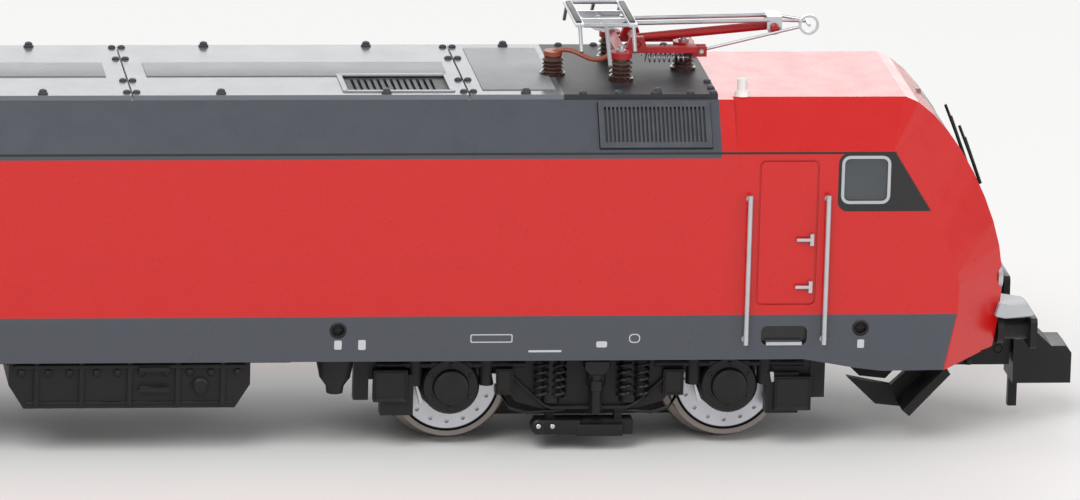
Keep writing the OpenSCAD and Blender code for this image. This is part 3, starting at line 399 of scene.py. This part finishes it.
def casing_colour(tree):
    point, along, across, height = side_point(tree)
    above_foot = calc(tree, "SUBTRACT", height, CREASE_FOOT_Z)
    crease = calc(tree, "ADD", CREASE_FOOT, calc(tree, "MULTIPLY", above_foot, CREASE_LEAN))
    skirt = calc(tree, "MULTIPLY", below(tree, height, SKIRT_TOP), below(tree, along, crease))
    band = calc(tree, "MULTIPLY", calc(tree, "SUBTRACT", 1.0, below(tree, height, BAND_LOW)),
                below(tree, along, BAND_END))
    colour = blend_colour(tree, calc(tree, "MAXIMUM", skirt, band), RED, GREY)
    on_side = calc(tree, "SUBTRACT", 1.0, below(tree, across, SIDE_Y))
    for centre, half, corner in PLATES:
        plate = calc(tree, "MULTIPLY", patch(tree, point, centre, half, corner), on_side)
        colour = blend_colour(tree, plate, colour, PLATE_PALE)
    for centre, half, corner in FRAMED_FIELDS:
        inner = (half[0] - FRAME_LINE, 0, half[2] - FRAME_LINE)
        line = calc(tree, "SUBTRACT", patch(tree, point, centre, half, corner),
                    patch(tree, point, centre, inner, corner * 0.8))
        colour = blend_colour(tree, calc(tree, "MULTIPLY", line, on_side), colour, PLATE_PALE)
    # Painted shade: black on the recess's inner faces, below the side's plane, stands in for shadow.
    recess_shade = calc(tree, "MULTIPLY", patch(tree, point, *STEP_RECESS_SHADE), below(tree, across, SIDE_Y))
    colour = blend_colour(tree, recess_shade, colour, PRINT_AND_SHADE_BLACK)
    window = calc(tree, "MULTIPLY", patch(tree, point, *WINDOW_FIELD), on_side)
    colour = blend_colour(tree, window, colour, PRINT_AND_SHADE_BLACK)
    beyond_drip = calc(tree, "SUBTRACT", 1.0, below(tree, across, DRIP_Y))
    drip = calc(tree, "MULTIPLY", patch(tree, point, *DRIP_LINE), beyond_drip)
    colour = blend_colour(tree, drip, colour, PRINT_AND_SHADE_BLACK)
    seen_from_front = tree.nodes.new("ShaderNodeCombineXYZ")
    tree.links.new(across, seen_from_front.inputs["X"])
    tree.links.new(height, seen_from_front.inputs["Z"])
    at_front = calc(tree, "SUBTRACT", 1.0, below(tree, along, FRONT_X))
    screen = calc(tree, "MULTIPLY", patch(tree, seen_from_front.outputs[0], *SCREEN_FIELD), at_front)
    return blend_colour(tree, screen, colour, PRINT_AND_SHADE_BLACK)


paint_node("body_shell", finish_material("casing_paint", RED, 0.3, grain=9000.0, depth=0.000002, tone=0.012,
                                         dust=0.008, coat=0.5, specular=0.35, colour_maker=casing_colour))

# %% [markdown]
# The other finishes differ only in a few numbers: how rough, how metallic, how coarse the grain. The roof
# panels are a satin grey that mirrors the bright studio at a flat angle, so their roughness matters more
# than their colour.

# %% Plain finishes
FINISHES = {
    "roof_grey": dict(colour=srgb(84, 88, 96), rough=0.34, grain=6000.0, depth=0.000008, dust=0.12),
    "mat_grey": dict(colour=srgb(128, 132, 136), rough=0.45, grain=5000.0, depth=0.00003, tone=0.1, dust=0.2),
    "roof_fitting": dict(colour=srgb(58, 61, 68), rough=0.4, grain=6000.0, dust=0.05),
    "trim_grey": dict(colour=srgb(150, 154, 160), rough=0.35, grain=6000.0, dust=0.05),
    "seal_grey": dict(colour=srgb(176, 180, 184), rough=0.45, grain=6000.0, dust=0.05),
    "bogie_black": dict(colour=srgb(16, 15, 15), specular=0.4, rough=0.42, grain=5000.0, depth=0.00001,
                        tone=0.15, dust=0.03),
    "carbon_grey": dict(colour=srgb(70, 70, 72), rough=0.5, grain=7000.0, tone=0.1),
    "grille_grey": dict(colour=srgb(60, 64, 72), rough=0.42, grain=7000.0, dust=0.08),
    "vent_black": dict(colour=srgb(62, 65, 70), rough=0.55, grain=6000.0, dust=0.15),
    "underframe_black": dict(colour=srgb(22, 21, 22), specular=0.35, rough=0.5, grain=5000.0, depth=0.00002,
                             tone=0.15, dust=0.1),
    "coupler_black": dict(colour=srgb(22, 22, 23), specular=0.35, rough=0.42, grain=6000.0, depth=0.00001,
                          dust=0.06),
    "silver_wire": dict(colour=srgb(196, 198, 202), rough=0.3, metal=0.85, grain=9000.0, dust=0.05),
    "panto_red": dict(colour=srgb(168, 22, 28), rough=0.34, grain=7000.0, dust=0.05),
    "horn_white": dict(colour=srgb(232, 230, 226), rough=0.45, grain=7000.0, dust=0.05),
    "insulator_brown": dict(colour=srgb(62, 30, 24), rough=0.25, grain=5000.0, tone=0.12, coat=0.4),
    "conductor_brown": dict(colour=srgb(150, 72, 48), rough=0.4, grain=7000.0, tone=0.1),
    "die_cast_grey": dict(colour=srgb(120, 121, 124), rough=0.55, metal=0.6, grain=3000.0, depth=0.00003,
                          tone=0.12),
    "motor_steel": dict(colour=srgb(160, 160, 164), rough=0.35, metal=0.9, grain=5000.0),
    "copper_winding": dict(colour=srgb(168, 92, 48), rough=0.35, metal=0.8, grain=5000.0, tone=0.15),
    "turned_brass": dict(colour=srgb(200, 160, 84), rough=0.25, metal=1.0, grain=5000.0),
    "bright_steel": dict(colour=srgb(205, 206, 208), rough=0.22, metal=1.0, grain=6000.0),
    "gear_plastic": dict(colour=srgb(226, 222, 208), rough=0.5, grain=4000.0),
    "hub_plastic": dict(colour=srgb(40, 40, 42), rough=0.5, grain=4000.0),
    "board_green": dict(colour=srgb(30, 92, 52), rough=0.3, grain=2500.0, tone=0.2),
}
materials = {name: finish_material(name, **values) for name, values in FINISHES.items()}

SLOT_FINISH = {
    "black_plastic": "underframe_black", "silver_metal": "silver_wire", "panto_red": "panto_red",
    "white_plastic": "horn_white", "insulator_brown": "insulator_brown",
    "conductor_brown": "conductor_brown", "die_cast": "die_cast_grey", "motor_steel": "motor_steel",
    "copper_winding": "copper_winding", "brass": "turned_brass", "bright_steel": "bright_steel",
    "gear_plastic": "gear_plastic", "board_green": "board_green", "grey_paint": "roof_grey",
}
for part in frame["record"]["subparts"]:
    finish = SLOT_FINISH.get(part["material_slot"])
    if finish:
        paint_node(part["node"], materials[finish])
for name, finish in {"side_grilles": "grille_grey", "roof_vents": "vent_black", "buffers": "coupler_black",
                     "coupler_head_front": "coupler_black", "coupler_head_rear": "coupler_black",
                     "axle_gear_front_a": "hub_plastic", "axle_gear_front_b": "hub_plastic",
                     "axle_gear_rear_a": "hub_plastic", "axle_gear_rear_b": "hub_plastic"}.items():
    paint_node(name, materials[finish])

# %% Roof panels
PANTO_FIELD_X = 28.7 * MM
ROOF_SMOOTH, ROOF_DULL = srgb(104, 108, 114), srgb(34, 36, 41)


def roof_colour(tree):
    along = side_point(tree)[1]
    return blend_colour(tree, below(tree, along, PANTO_FIELD_X), ROOF_DULL, ROOF_SMOOTH)


def roof_rough(tree, rough):
    smooth = below(tree, side_point(tree)[1], PANTO_FIELD_X)
    return calc(tree, "SUBTRACT", 0.5, calc(tree, "MULTIPLY", smooth, calc(tree, "SUBTRACT", 0.72, rough)))


roof_paint = finish_material("roof_paint", ROOF_SMOOTH, 0.42, grain=6000.0, depth=0.000004, tone=0.04,
                             dust=0.05, colour_maker=roof_colour, rough_maker=roof_rough)
paint_node("roof_panels", roof_paint)

# %% [markdown]
# A model wheel is turned from one piece of metal, but it shows three rings: the dull tyre, a bright disc
# with a circle of holes that imitates a brake disc, and a dark hub. Distance from the axle tells the rings
# apart, so each pair of wheels has its own material that is centred on its own axle.

# %% Wheel metal
GROOVE_EDGE = 3.5 * MM
DISC_EDGE = 3.32 * MM
HUB_EDGE = 2.0 * MM
TYRE_STEEL = srgb(138, 130, 125)
DISC_SILVER = srgb(206, 208, 214)
HUB_DARK = srgb(30, 28, 29)


def wheel_metal(name, centre):
    def rings(tree):
        place = tree.nodes.new("ShaderNodeTexCoord").outputs["Object"]
        from_axle = vector_calc(tree, "SUBTRACT", place, Vector((centre.x, 0, centre.z)))
        flat = vector_calc(tree, "MULTIPLY", from_axle, Vector((1, 0, 1)))
        radius = vector_calc(tree, "LENGTH", flat)
        colour = blend_colour(tree, below(tree, radius, GROOVE_EDGE), TYRE_STEEL, HUB_DARK)
        colour = blend_colour(tree, below(tree, radius, DISC_EDGE), colour, DISC_SILVER)
        return blend_colour(tree, below(tree, radius, HUB_EDGE), colour, HUB_DARK)
    return finish_material(name, TYRE_STEEL, 0.36, metal=0.75, grain=7000.0, depth=0.000008, tone=0.08,
                           dust=0.05, colour_maker=rings)


for name in [n for n in nodes if n.startswith("wheels_")]:
    low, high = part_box(name)
    paint_node(name, wheel_metal("metal_of_" + name, (low + high) / 2))

# %% Glass and clear plastic
def clear_material(name, tint, rough):
    material = bpy.data.materials.new(name)
    material.use_nodes = True
    tree = material.node_tree
    shader = tree.nodes["Principled BSDF"]
    shader.inputs["Transmission Weight"].default_value = 0.85
    shader.inputs["Roughness"].default_value = rough
    grain_node = use_group(tree, FINE_GRAIN, Scale=3000.0)
    deeper = tuple(v * 0.9 for v in tint[:3]) + (1,)
    tree.links.new(blend_colour(tree, grain_node.outputs["Tone"], tint, deeper), shader.inputs["Base Color"])
    return material


paint_node("cab_glazing", clear_material("cab_glass", srgb(150, 158, 164), 0.08))
paint_node("light_guides", clear_material("clear_plastic", srgb(236, 236, 230), 0.1))

# %% [markdown]
# From here on, small fittings are modelled one by one. A turned part, such as a bolt or an axle cover, starts
# as one point that is extruded along half its outline and then spun. A flat plate starts as the same chain
# of points, filled and extruded. A box gets its edges bevelled, because a sharp edge never catches light.

# %% Modelling tools
def begin():
    bpy.ops.object.select_all(action="DESELECT")


def apply_place(piece):
    begin()
    piece.select_set(True)
    bpy.context.view_layer.objects.active = piece
    bpy.ops.object.transform_apply(location=True, rotation=True, scale=True)
    return piece


def box_piece(low, high, bevel=0.06):
    """A bevelled box between its lowest and highest corner, in mm."""
    begin()
    low, high = Vector(low) * MM, Vector(high) * MM
    bpy.ops.mesh.primitive_cube_add(size=1, location=(low + high) / 2, scale=high - low)
    piece = apply_place(bpy.context.object)
    bpy.ops.object.mode_set(mode="EDIT")
    bpy.ops.mesh.select_all(action="SELECT")
    bpy.ops.mesh.bevel(offset=bevel * MM, segments=2, affect="EDGES")
    bpy.ops.object.mode_set(mode="OBJECT")
    return piece


def chain(points):
    """An edit-mode chain of points in mm: one point, extruded from place to place."""
    begin()
    bpy.ops.mesh.primitive_plane_add(size=MM)
    bpy.ops.object.mode_set(mode="EDIT")
    bpy.ops.mesh.select_all(action="SELECT")
    bpy.ops.mesh.merge(type="CENTER")
    places = [Vector(p) * MM for p in points]
    bpy.ops.transform.translate(value=places[0])
    for last, place in zip(places, places[1:]):
        bpy.ops.mesh.extrude_vertices_move(TRANSFORM_OT_translate={"value": place - last})
    bpy.ops.mesh.select_all(action="SELECT")


def turned_piece(profile, place=(0, 0, 0), axis="Z", steps=20):
    """A turned part: profile is (radius, height) in mm, from the axis at the foot to the axis at the top."""
    chain([(radius, 0, height) for radius, height in profile])
    bpy.ops.mesh.spin(steps=steps, angle=2 * math.pi, center=(0, 0, 0), axis=(0, 0, 1))
    bpy.ops.mesh.select_all(action="SELECT")
    bpy.ops.mesh.remove_doubles(threshold=0.0005 * MM)
    bpy.ops.mesh.normals_make_consistent(inside=False)
    bpy.ops.object.mode_set(mode="OBJECT")
    piece = bpy.context.object
    piece.rotation_euler = {"Z": (0, 0, 0), "X": (0, math.pi / 2, 0), "-Y": (math.pi / 2, 0, 0)}[axis]
    piece.location = Vector(place) * MM
    return apply_place(piece)


def plate_piece(outline, y0, y1, bevel=0.04):
    """A plate with an outline of (x, z) points, from y0 to y1, in mm."""
    chain([(x, y0, z) for x, z in outline])
    bpy.ops.mesh.edge_face_add()
    bpy.ops.mesh.extrude_region_move(TRANSFORM_OT_translate={"value": (0, (y1 - y0) * MM, 0)})
    bpy.ops.mesh.select_all(action="SELECT")
    bpy.ops.mesh.normals_make_consistent(inside=False)
    if bevel:
        bpy.ops.mesh.bevel(offset=bevel * MM, segments=1, affect="EDGES")
    bpy.ops.object.mode_set(mode="OBJECT")
    return bpy.context.object


def ring_piece(centre, size, corner, width, thickness, upright):
    """A flat frame with rounded corners round a window or a vent, in mm."""
    begin()
    turn = (math.pi / 2, 0, 0) if upright else (0, 0, 0)
    bpy.ops.mesh.primitive_plane_add(size=1, location=Vector(centre) * MM, rotation=turn)
    piece = bpy.context.object
    piece.scale = (size[0] * MM, size[1] * MM, 1)
    apply_place(piece)
    bpy.ops.object.mode_set(mode="EDIT")
    bpy.ops.mesh.select_all(action="SELECT")
    bpy.ops.mesh.bevel(offset=corner * MM, segments=4, affect="VERTICES")
    bpy.ops.mesh.select_all(action="SELECT")
    bpy.ops.mesh.inset(thickness=width * MM, depth=0)
    bpy.ops.mesh.delete(type="FACE")
    bpy.ops.object.mode_set(mode="OBJECT")
    solid = piece.modifiers.new("thickness", "SOLIDIFY")
    solid.thickness = thickness * MM
    solid.offset = 0
    bpy.ops.object.modifier_apply(modifier=solid.name)
    return piece


def coil_piece(start, length, radius, wire, turns):
    """A spring wound round Z from start upwards, in mm: a small circle screwed round the axis."""
    begin()
    bpy.ops.mesh.primitive_circle_add(vertices=8, radius=wire * MM, location=(radius * MM, 0, 0),
                                      rotation=(math.pi / 2, 0, 0))
    piece = apply_place(bpy.context.object)
    wind = piece.modifiers.new("winding", "SCREW")
    wind.axis = "Z"
    wind.angle = 2 * math.pi
    wind.screw_offset = length / turns * MM
    wind.iterations = turns
    wind.steps = wind.render_steps = 14
    bpy.ops.object.modifier_apply(modifier=wind.name)
    bpy.ops.object.mode_set(mode="EDIT")
    bpy.ops.mesh.select_all(action="SELECT")
    bpy.ops.mesh.remove_doubles(threshold=0.0005 * MM)
    bpy.ops.mesh.fill_holes(sides=12)
    bpy.ops.mesh.select_all(action="SELECT")
    bpy.ops.mesh.normals_make_consistent(inside=False)
    bpy.ops.object.mode_set(mode="OBJECT")
    piece.location = Vector(start) * MM
    return apply_place(piece)


def joined(pieces):
    begin()
    for piece in pieces:
        piece.select_set(True)
    bpy.context.view_layer.objects.active = pieces[0]
    if len(pieces) > 1:
        bpy.ops.object.join()
    return pieces[0]


def copied(piece, matrix):
    """A copy with its own mesh, moved by a matrix; a mirrored mesh gets its faces turned out again."""
    twin = piece.copy()
    twin.data = piece.data.copy()
    bpy.context.scene.collection.objects.link(twin)
    twin.data.transform(matrix)
    if matrix.determinant() < 0:
        twin.data.flip_normals()
    return twin


SAME = Matrix.Identity(4)
MIRROR_Y = Matrix.Scale(-1, 4, (0, 1, 0))
HALF_ROUND = Matrix.Rotation(math.pi, 4, "Z")
PIVOT = Matrix.Translation((30.94 * MM, 0, 0))
ADDED = []


def settle(piece, name, body, finish):
    """Names a piece, gives it a finish and lets it ride on its body."""
    piece.name = name
    piece.data.name = name
    piece.data.materials.clear()
    piece.data.materials.append(materials[finish])
    begin()
    piece.select_set(True)
    bpy.context.view_layer.objects.active = piece
    bpy.ops.object.shade_smooth_by_angle(angle=math.radians(40))
    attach(piece, body)
    ADDED.append(piece)


def settle_both_ends(piece, name, finish, body="body", both_sides=True, local=SAME):
    """The piece at the leading end and, turned half round, at the rear, each with its mirrored twin."""
    for end, turn in (("front", SAME), ("rear", HALF_ROUND)):
        sides = [copied(piece, turn @ local)]
        if both_sides:
            sides.append(copied(piece, turn @ local @ MIRROR_Y))
        settle(joined(sides), f"{name}_{end}", body.format(end=end), finish)
    bpy.data.objects.remove(piece)


# %% [markdown]
# The roof is made of bolted panels. Each joint between two panels has a row of bolts, and lifting eyes
# stand along the edges. Down the middle lies a rough walkway mat, which stays dull where the smooth panel
# beside it mirrors the sky.

# %% Roof
ROOF_Z = 24.46
MAT_T = 0.06
BOLT = [(0, 0), (0.26, 0), (0.26, 0.08), (0.18, 0.17), (0, 0.2)]
LIFTING_EYE = [(0, 0), (0.34, 0), (0.34, 0.1), (0.26, 0.16), (0.26, 0.26), (0.16, 0.34), (0, 0.36)]
SEAM_X = 22.4

mats = [box_piece((1.35, -1.9, ROOF_Z - 0.01), (21.5, 1.9, ROOF_Z + MAT_T), 0.02),
        box_piece((23.4, -5.8, ROOF_Z - 0.01), (28.3, 5.8, ROOF_Z + MAT_T), 0.02)]
settle_both_ends(joined(mats), "walkway_mat", "mat_grey", both_sides=False)

bolts = []
for x in (0.32, SEAM_X - 0.32, SEAM_X + 0.32):
    for y in (-6.2, -3.0, 3.0, 6.2):
        bolts.append(turned_piece(BOLT, (x, y, ROOF_Z), steps=12))
for x in (30.0, 32.4, 34.8, 37.2, 38.75):
    bolts.append(turned_piece(BOLT, (x, -6.7, ROOF_Z), steps=12))
    bolts.append(turned_piece(BOLT, (x, 6.7, ROOF_Z), steps=12))
for y in (-5.4, -3.6, 3.6, 5.4):
    bolts.append(turned_piece(BOLT, (38.75, y, ROOF_Z), steps=12))
settle_both_ends(joined(bolts), "roof_bolts", "roof_fitting", both_sides=False)

eyes = [turned_piece(LIFTING_EYE, (x, -6.55, ROOF_Z), steps=14) for x in (5.9, 16.9, 26.2, 35.0)]
settle_both_ends(joined(eyes), "lifting_eyes", "roof_fitting")

vent_frame = ring_piece((17.8, -3.8, ROOF_Z + 0.03), (7.5, 4.9), 0.2, 0.34, 0.1, upright=False)
settle_both_ends(vent_frame, "vent_frame", "trim_grey", both_sides=False)
print("roof pieces", len(ADDED))

# %% [markdown]
# The cab's side window sits in a pale rubber seal. The sockets low on the skirt and the headlamps have
# turned collars. At the nose, a step plate stands above each buffer.

# %% Cab fittings
SIDE = -9.375
seal = ring_piece((48.8, SIDE - 0.02, 19.16), (3.3, 3.3), 0.55, 0.2, 0.1, upright=True)
settle_both_ends(seal, "side_window_seal", "seal_grey")

COLLAR = [(0.4, 0), (0.56, 0), (0.56, 0.05), (0.5, 0.1), (0.4, 0.1)]
SOCKET = [(0, -0.35), (0.36, -0.35), (0.36, -0.2), (0.12, -0.16), (0, -0.16)]


def closed_ring(profile, place, axis, steps=24):
    """A turned ring: its outline closes on itself and stays clear of the axis."""
    return turned_piece(profile + [profile[0]], place, axis, steps)


sockets = []
for x in (13.74, 48.8):
    sockets.append(closed_ring(COLLAR, (x, SIDE + 0.02, 8.95), "-Y"))
    sockets.append(turned_piece(SOCKET, (x, SIDE, 8.95), "-Y"))
    sockets.append(box_piece((x - 0.3, SIDE + 0.05, 8.9), (x + 0.3, SIDE + 0.3, 9.0), 0.02))
settle_both_ends(joined(sockets), "skirt_sockets", "underframe_black")

BEZEL = [(0.68, -0.2), (0.95, -0.2), (0.95, 0.02), (0.85, 0.12), (0.68, 0.12)]
lamps = [closed_ring(BEZEL, (58.72, -5.7, 11.6), "X"), closed_ring(BEZEL, (58.72, -4.0, 11.6), "X"),
         turned_piece([(0, -0.1), (0.7, -0.1), (0.7, 0), (0.45, 0.07), (0, 0.1)], (58.75, -4.0, 11.6), "X")]
settle_both_ends(joined(lamps), "lamp_bezels", "silver_wire")

step_plate = plate_piece([(58.3, 9.0), (59.0, 8.85), (60.9, 9.0), (61.0, 9.2), (60.6, 9.6), (58.6, 9.9)],
                         -7.0, -3.9, 0.08)
settle_both_ends(step_plate, "nose_step", "seal_grey")

PIPE = [(0, 0), (0.3, 0), (0.3, 0.4), (0.18, 0.5), (0.18, 2.2), (0.26, 2.3), (0.26, 2.7), (0, 2.8)]
pipe = turned_piece(PIPE, (57.3, -2.9, 4.6), steps=14)
settle_both_ends(pipe, "brake_pipe", "coupler_black")

foot = turned_piece([(0, 0), (0.25, 0), (0.25, 0.1), (0.16, 0.2), (0, 0.2)], (0, 0, 0), "-Y", 14)
feet = []
for x in (41.03, 46.29):
    for z in (8.22, 17.9):
        feet.append(copied(foot, Matrix.Translation(Vector((x, SIDE, z)) * MM)))
bpy.data.objects.remove(foot)
settle_both_ends(joined(feet), "handrail_feet", "silver_wire")

# %% [markdown]
# Under the skirt hang small boxes and a funnel-shaped filter. The tank carries a frame and bolt heads.

# %% Underframe
funnel = turned_piece([(0, 0), (0.55, 0), (0.62, 0.5), (1.05, 1.1), (1.25, 2.1), (1.25, 2.9), (0, 2.9)],
                      (13.8, -7.4, 4.15), steps=18)
settle_both_ends(funnel, "hanging_filter", "underframe_black")

TANK_SIDE = -8.525
tank_parts = [box_piece((-7.7, TANK_SIDE - 0.3, 6.25), (7.7, TANK_SIDE + 0.1, 6.5), 0.05),
              box_piece((-6.9, TANK_SIDE - 0.12, 3.75), (6.9, TANK_SIDE + 0.1, 3.92), 0.04)]
for x in (-7.2, -5.4, -4.0, -2.2, -0.8, 0.8, 2.4, 4.0, 5.4, 7.2):
    tank_parts.append(turned_piece(BOLT, (x, TANK_SIDE - 0.02, 5.9), "-Y", 10))
tank_parts.append(turned_piece([(0, 0), (0.55, 0), (0.55, 0.25), (0.4, 0.4), (0.4, 0.5), (0, 0.5)],
                               (4.7, TANK_SIDE, 5.0), "-Y"))
tank = joined(tank_parts)
settle(copied(tank, SAME), "tank_fittings_right", "body", "underframe_black")
settle(copied(tank, HALF_ROUND), "tank_fittings_left", "body", "underframe_black")
bpy.data.objects.remove(tank)

# %% [markdown]
# A bogie's side is a plain frame behind a crowd of fittings. In the middle stand the damper and the coil
# springs that carry the body. Each axle end has a round cover, with a brake caliper and a box beside it.
# A ridge runs down and up again along the frame's lower edge, and a track brake hangs over the rail.

# %% Bogie sides
FACE = -7.3
AXLE = 9.375


def ridge_outline(points, width):
    """A band of even height along a line of points, as one closed outline."""
    return points + [(x, z - width) for x, z in reversed(points)]


ridge_line = [(-5.4, 5.5), (-4.9, 5.0), (-3.1, 3.35), (-2.6, 3.15),
              (2.5, 3.15), (3.1, 3.4), (4.9, 5.1), (6.2, 5.35)]
frame_ridge = plate_piece(ridge_outline(ridge_line, 0.26), FACE - 0.35, FACE + 0.1, 0.05)
hanger_line = [(1.6, 2.95), (4.2, 2.75), (5.4, 3.1), (6.1, 4.2), (6.3, 5.2)]
hanger = plate_piece(ridge_outline(hanger_line, 0.2), FACE - 0.2, FACE + 0.05, 0.04)
hanger_twin = copied(hanger, Matrix.Scale(-1, 4, (1, 0, 0)))
settle_both_ends(joined([frame_ridge, hanger, hanger_twin]), "frame_ridge", "bogie_black", "bogie_{end}",
                 local=PIVOT)

DAMPER = [(0, 0), (0.3, 0), (0.34, 0.1), (0.34, 1.6), (0.46, 1.65),
          (0.46, 2.3), (0.36, 2.4), (0.36, 3.0), (0, 3.0)]
damper_parts = [turned_piece(DAMPER, (0.35, FACE - 0.75, 2.75), steps=18),
                plate_piece([(-0.5, 6.5), (-0.5, 5.9), (-0.15, 5.5), (0.85, 5.5), (1.2, 5.9), (1.2, 6.5)],
                            FACE - 1.2, FACE - 0.2, 0.06)]
settle_both_ends(joined(damper_parts), "damper", "bogie_black", "bogie_{end}", local=PIVOT)

springs = []
for x in (-3.3, -2.1, 2.3, 3.5):
    springs.append(coil_piece((x, FACE - 0.3, 3.7), 2.5, 0.42, 0.11, 5))
settle_both_ends(joined(springs), "coil_springs", "bogie_black", "bogie_{end}", local=PIVOT)

COVER = [(0, 0), (1.95, 0), (1.95, 0.25), (1.8, 0.45), (1.25, 0.5),
         (1.15, 0.85), (0.95, 0.95), (0.3, 0.97), (0, 0.9)]
COVER_BOLT = [(0, 0), (0.16, 0), (0.16, 0.1), (0.1, 0.14), (0, 0.14)]
covers = []
for side in (-1, 1):
    covers.append(turned_piece(COVER, (side * AXLE, FACE + 0.1, 4.55), "-Y", 32))
    for k in range(6):
        angle = math.radians(60 * k + 30)
        covers.append(turned_piece(COVER_BOLT, (side * AXLE + 1.52 * math.cos(angle), FACE - 0.34,
                                                4.55 + 1.52 * math.sin(angle)), "-Y", 8))
settle_both_ends(joined(covers), "axle_covers", "bogie_black", "bogie_{end}", local=PIVOT)


def equipment_box(x0, x1, z0, z1, y):
    """A box whose front is set in by an inset and a short push, as a pressed door is."""
    piece = box_piece((x0, y, z0), (x1, y + 0.8, z1), 0.05)
    bpy.ops.object.mode_set(mode="EDIT")
    mesh = bmesh.from_edit_mesh(piece.data)
    front = min(mesh.faces, key=lambda face: face.calc_center_median().y - face.calc_area())
    for face in mesh.faces:
        face.select_set(face is front)
    bmesh.update_edit_mesh(piece.data)
    bpy.ops.mesh.inset(thickness=0.16 * MM, depth=-0.14 * MM)
    bpy.ops.object.mode_set(mode="OBJECT")
    return piece


boxes = [equipment_box(12.4, 14.9, 2.85, 5.2, FACE - 0.75), equipment_box(4.9, 6.3, 3.9, 5.7, FACE - 0.5),
         equipment_box(-14.6, -12.3, 3.6, 5.8, FACE - 0.75), equipment_box(-6.4, -5.2, 4.0, 5.8, FACE - 0.5)]
settle_both_ends(joined(boxes), "bogie_boxes", "bogie_black", "bogie_{end}", local=PIVOT)

pads = []
for side in (-1, 1):
    for shift in (-2.35, -1.75):
        x = side * AXLE + shift
        pads.append(plate_piece([(x, 4.5), (x + 0.16, 4.55), (x + 0.62, 3.35), (x + 0.3, 3.25)],
                                FACE - 0.05, FACE + 0.3, 0.03))
    pads.append(plate_piece([(side * AXLE + 2.7, 5.5), (side * AXLE + 3.0, 5.5), (side * AXLE + 3.05, 4.8),
                             (side * AXLE + 2.85, 4.75)], FACE - 0.5, FACE - 0.2, 0.03))
settle_both_ends(joined(pads), "brake_linkage", "silver_wire", "bogie_{end}", local=PIVOT)

MAGNET_END = [(0, 0), (0.52, 0), (0.52, 0.9), (0.4, 1.0), (0, 1.0)]
magnet_end = turned_piece(MAGNET_END, (-3.4, FACE + 0.35, 1.75), "-Y")
magnet_bar = box_piece((-3.4, FACE - 0.6, 1.28), (-0.6, FACE + 0.3, 2.25), 0.14)
magnet_block = box_piece((-0.9, FACE - 0.65, 1.1), (2.3, FACE + 0.3, 1.95), 0.12)
settle_both_ends(joined([magnet_end, magnet_bar, magnet_block]), "track_brake", "bogie_black", "bogie_{end}",
                 local=PIVOT)
dots = [turned_piece(COVER_BOLT, (x, FACE - 0.64, 1.85), "-Y", 10) for x in (-3.45, -2.5)]
settle_both_ends(joined(dots), "track_brake_bolts", "bright_steel", "bogie_{end}", local=PIVOT)

# %% [markdown]
# The pantograph is the most delicate part. Its springs are wound here, in place of the plain rods that the
# motion model carries. Carbon strips lie on the head's two bars, and small nuts hold the base.

# %% Pantograph
panto_coils = []
for y in (-0.95, 0.95):
    coil = coil_piece((0, 0, 0), 2.6, 0.3, 0.065, 8)
    coil.rotation_euler = (0, math.pi / 2, 0)
    coil.location = Vector((34.9, y, 25.5)) * MM
    panto_coils.append(apply_place(coil))
    panto_coils.append(turned_piece([(0, 0), (0.1, 0), (0.1, 0.75), (0, 0.75)], (37.1, y, 25.5), "X", 10))
coils = joined(panto_coils)
both = joined([copied(coils, SAME), copied(coils, HALF_ROUND)])
bpy.data.objects.remove(coils)
settle(both, "wound_springs", "body", "silver_wire")
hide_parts("panto_springs")

STRIP_TOP = 28.39
APEX_X = 31.9
strips = []
for x in (APEX_X - 1.8, APEX_X + 1.8):
    strips.append(box_piece((x - 0.2, -2.9, STRIP_TOP - 0.02), (x + 0.2, 2.9, STRIP_TOP + 0.1), 0.04))
settle_both_ends(joined(strips), "carbon_strips", "carbon_grey", "panto_head_{end}", both_sides=False)

NUT = [(0, 0), (0.36, 0), (0.36, 0.16), (0.2, 0.2), (0.2, 0.42), (0, 0.46)]
nuts = [turned_piece(NUT, (x, y, 26.38), steps=6) for x, y in ((33.0, -3), (33.0, 3), (37.6, 0))]
settle_both_ends(joined(nuts), "base_nuts", "silver_wire", both_sides=False)

pin = turned_piece([(0, 0), (0.3, 0), (0.3, 0.12), (0.2, 0.2), (0, 0.2)], (43.597, -0.94, 27.5), "-Y", 16)
settle_both_ends(pin, "knuckle_pin", "panto_red", "panto_lower_{end}")
print("added pieces", len(ADDED), "with", sum(len(piece.data.polygons) for piece in ADDED), "faces")

# %% Floor
def make_floor():
    bpy.ops.object.select_all(action="DESELECT")
    bpy.ops.mesh.primitive_plane_add(size=FLOOR_SIZE, location=(0, 0, -0.00002))
    floor = bpy.context.object
    floor.name = "studio_floor"
    floor.data.materials.append(finish_material("floor_paper", srgb(244, 244, 243), 0.8, grain=300.0,
                                                depth=0.00001, tone=0.005, dust=0.0, specular=0.1))


make_floor()
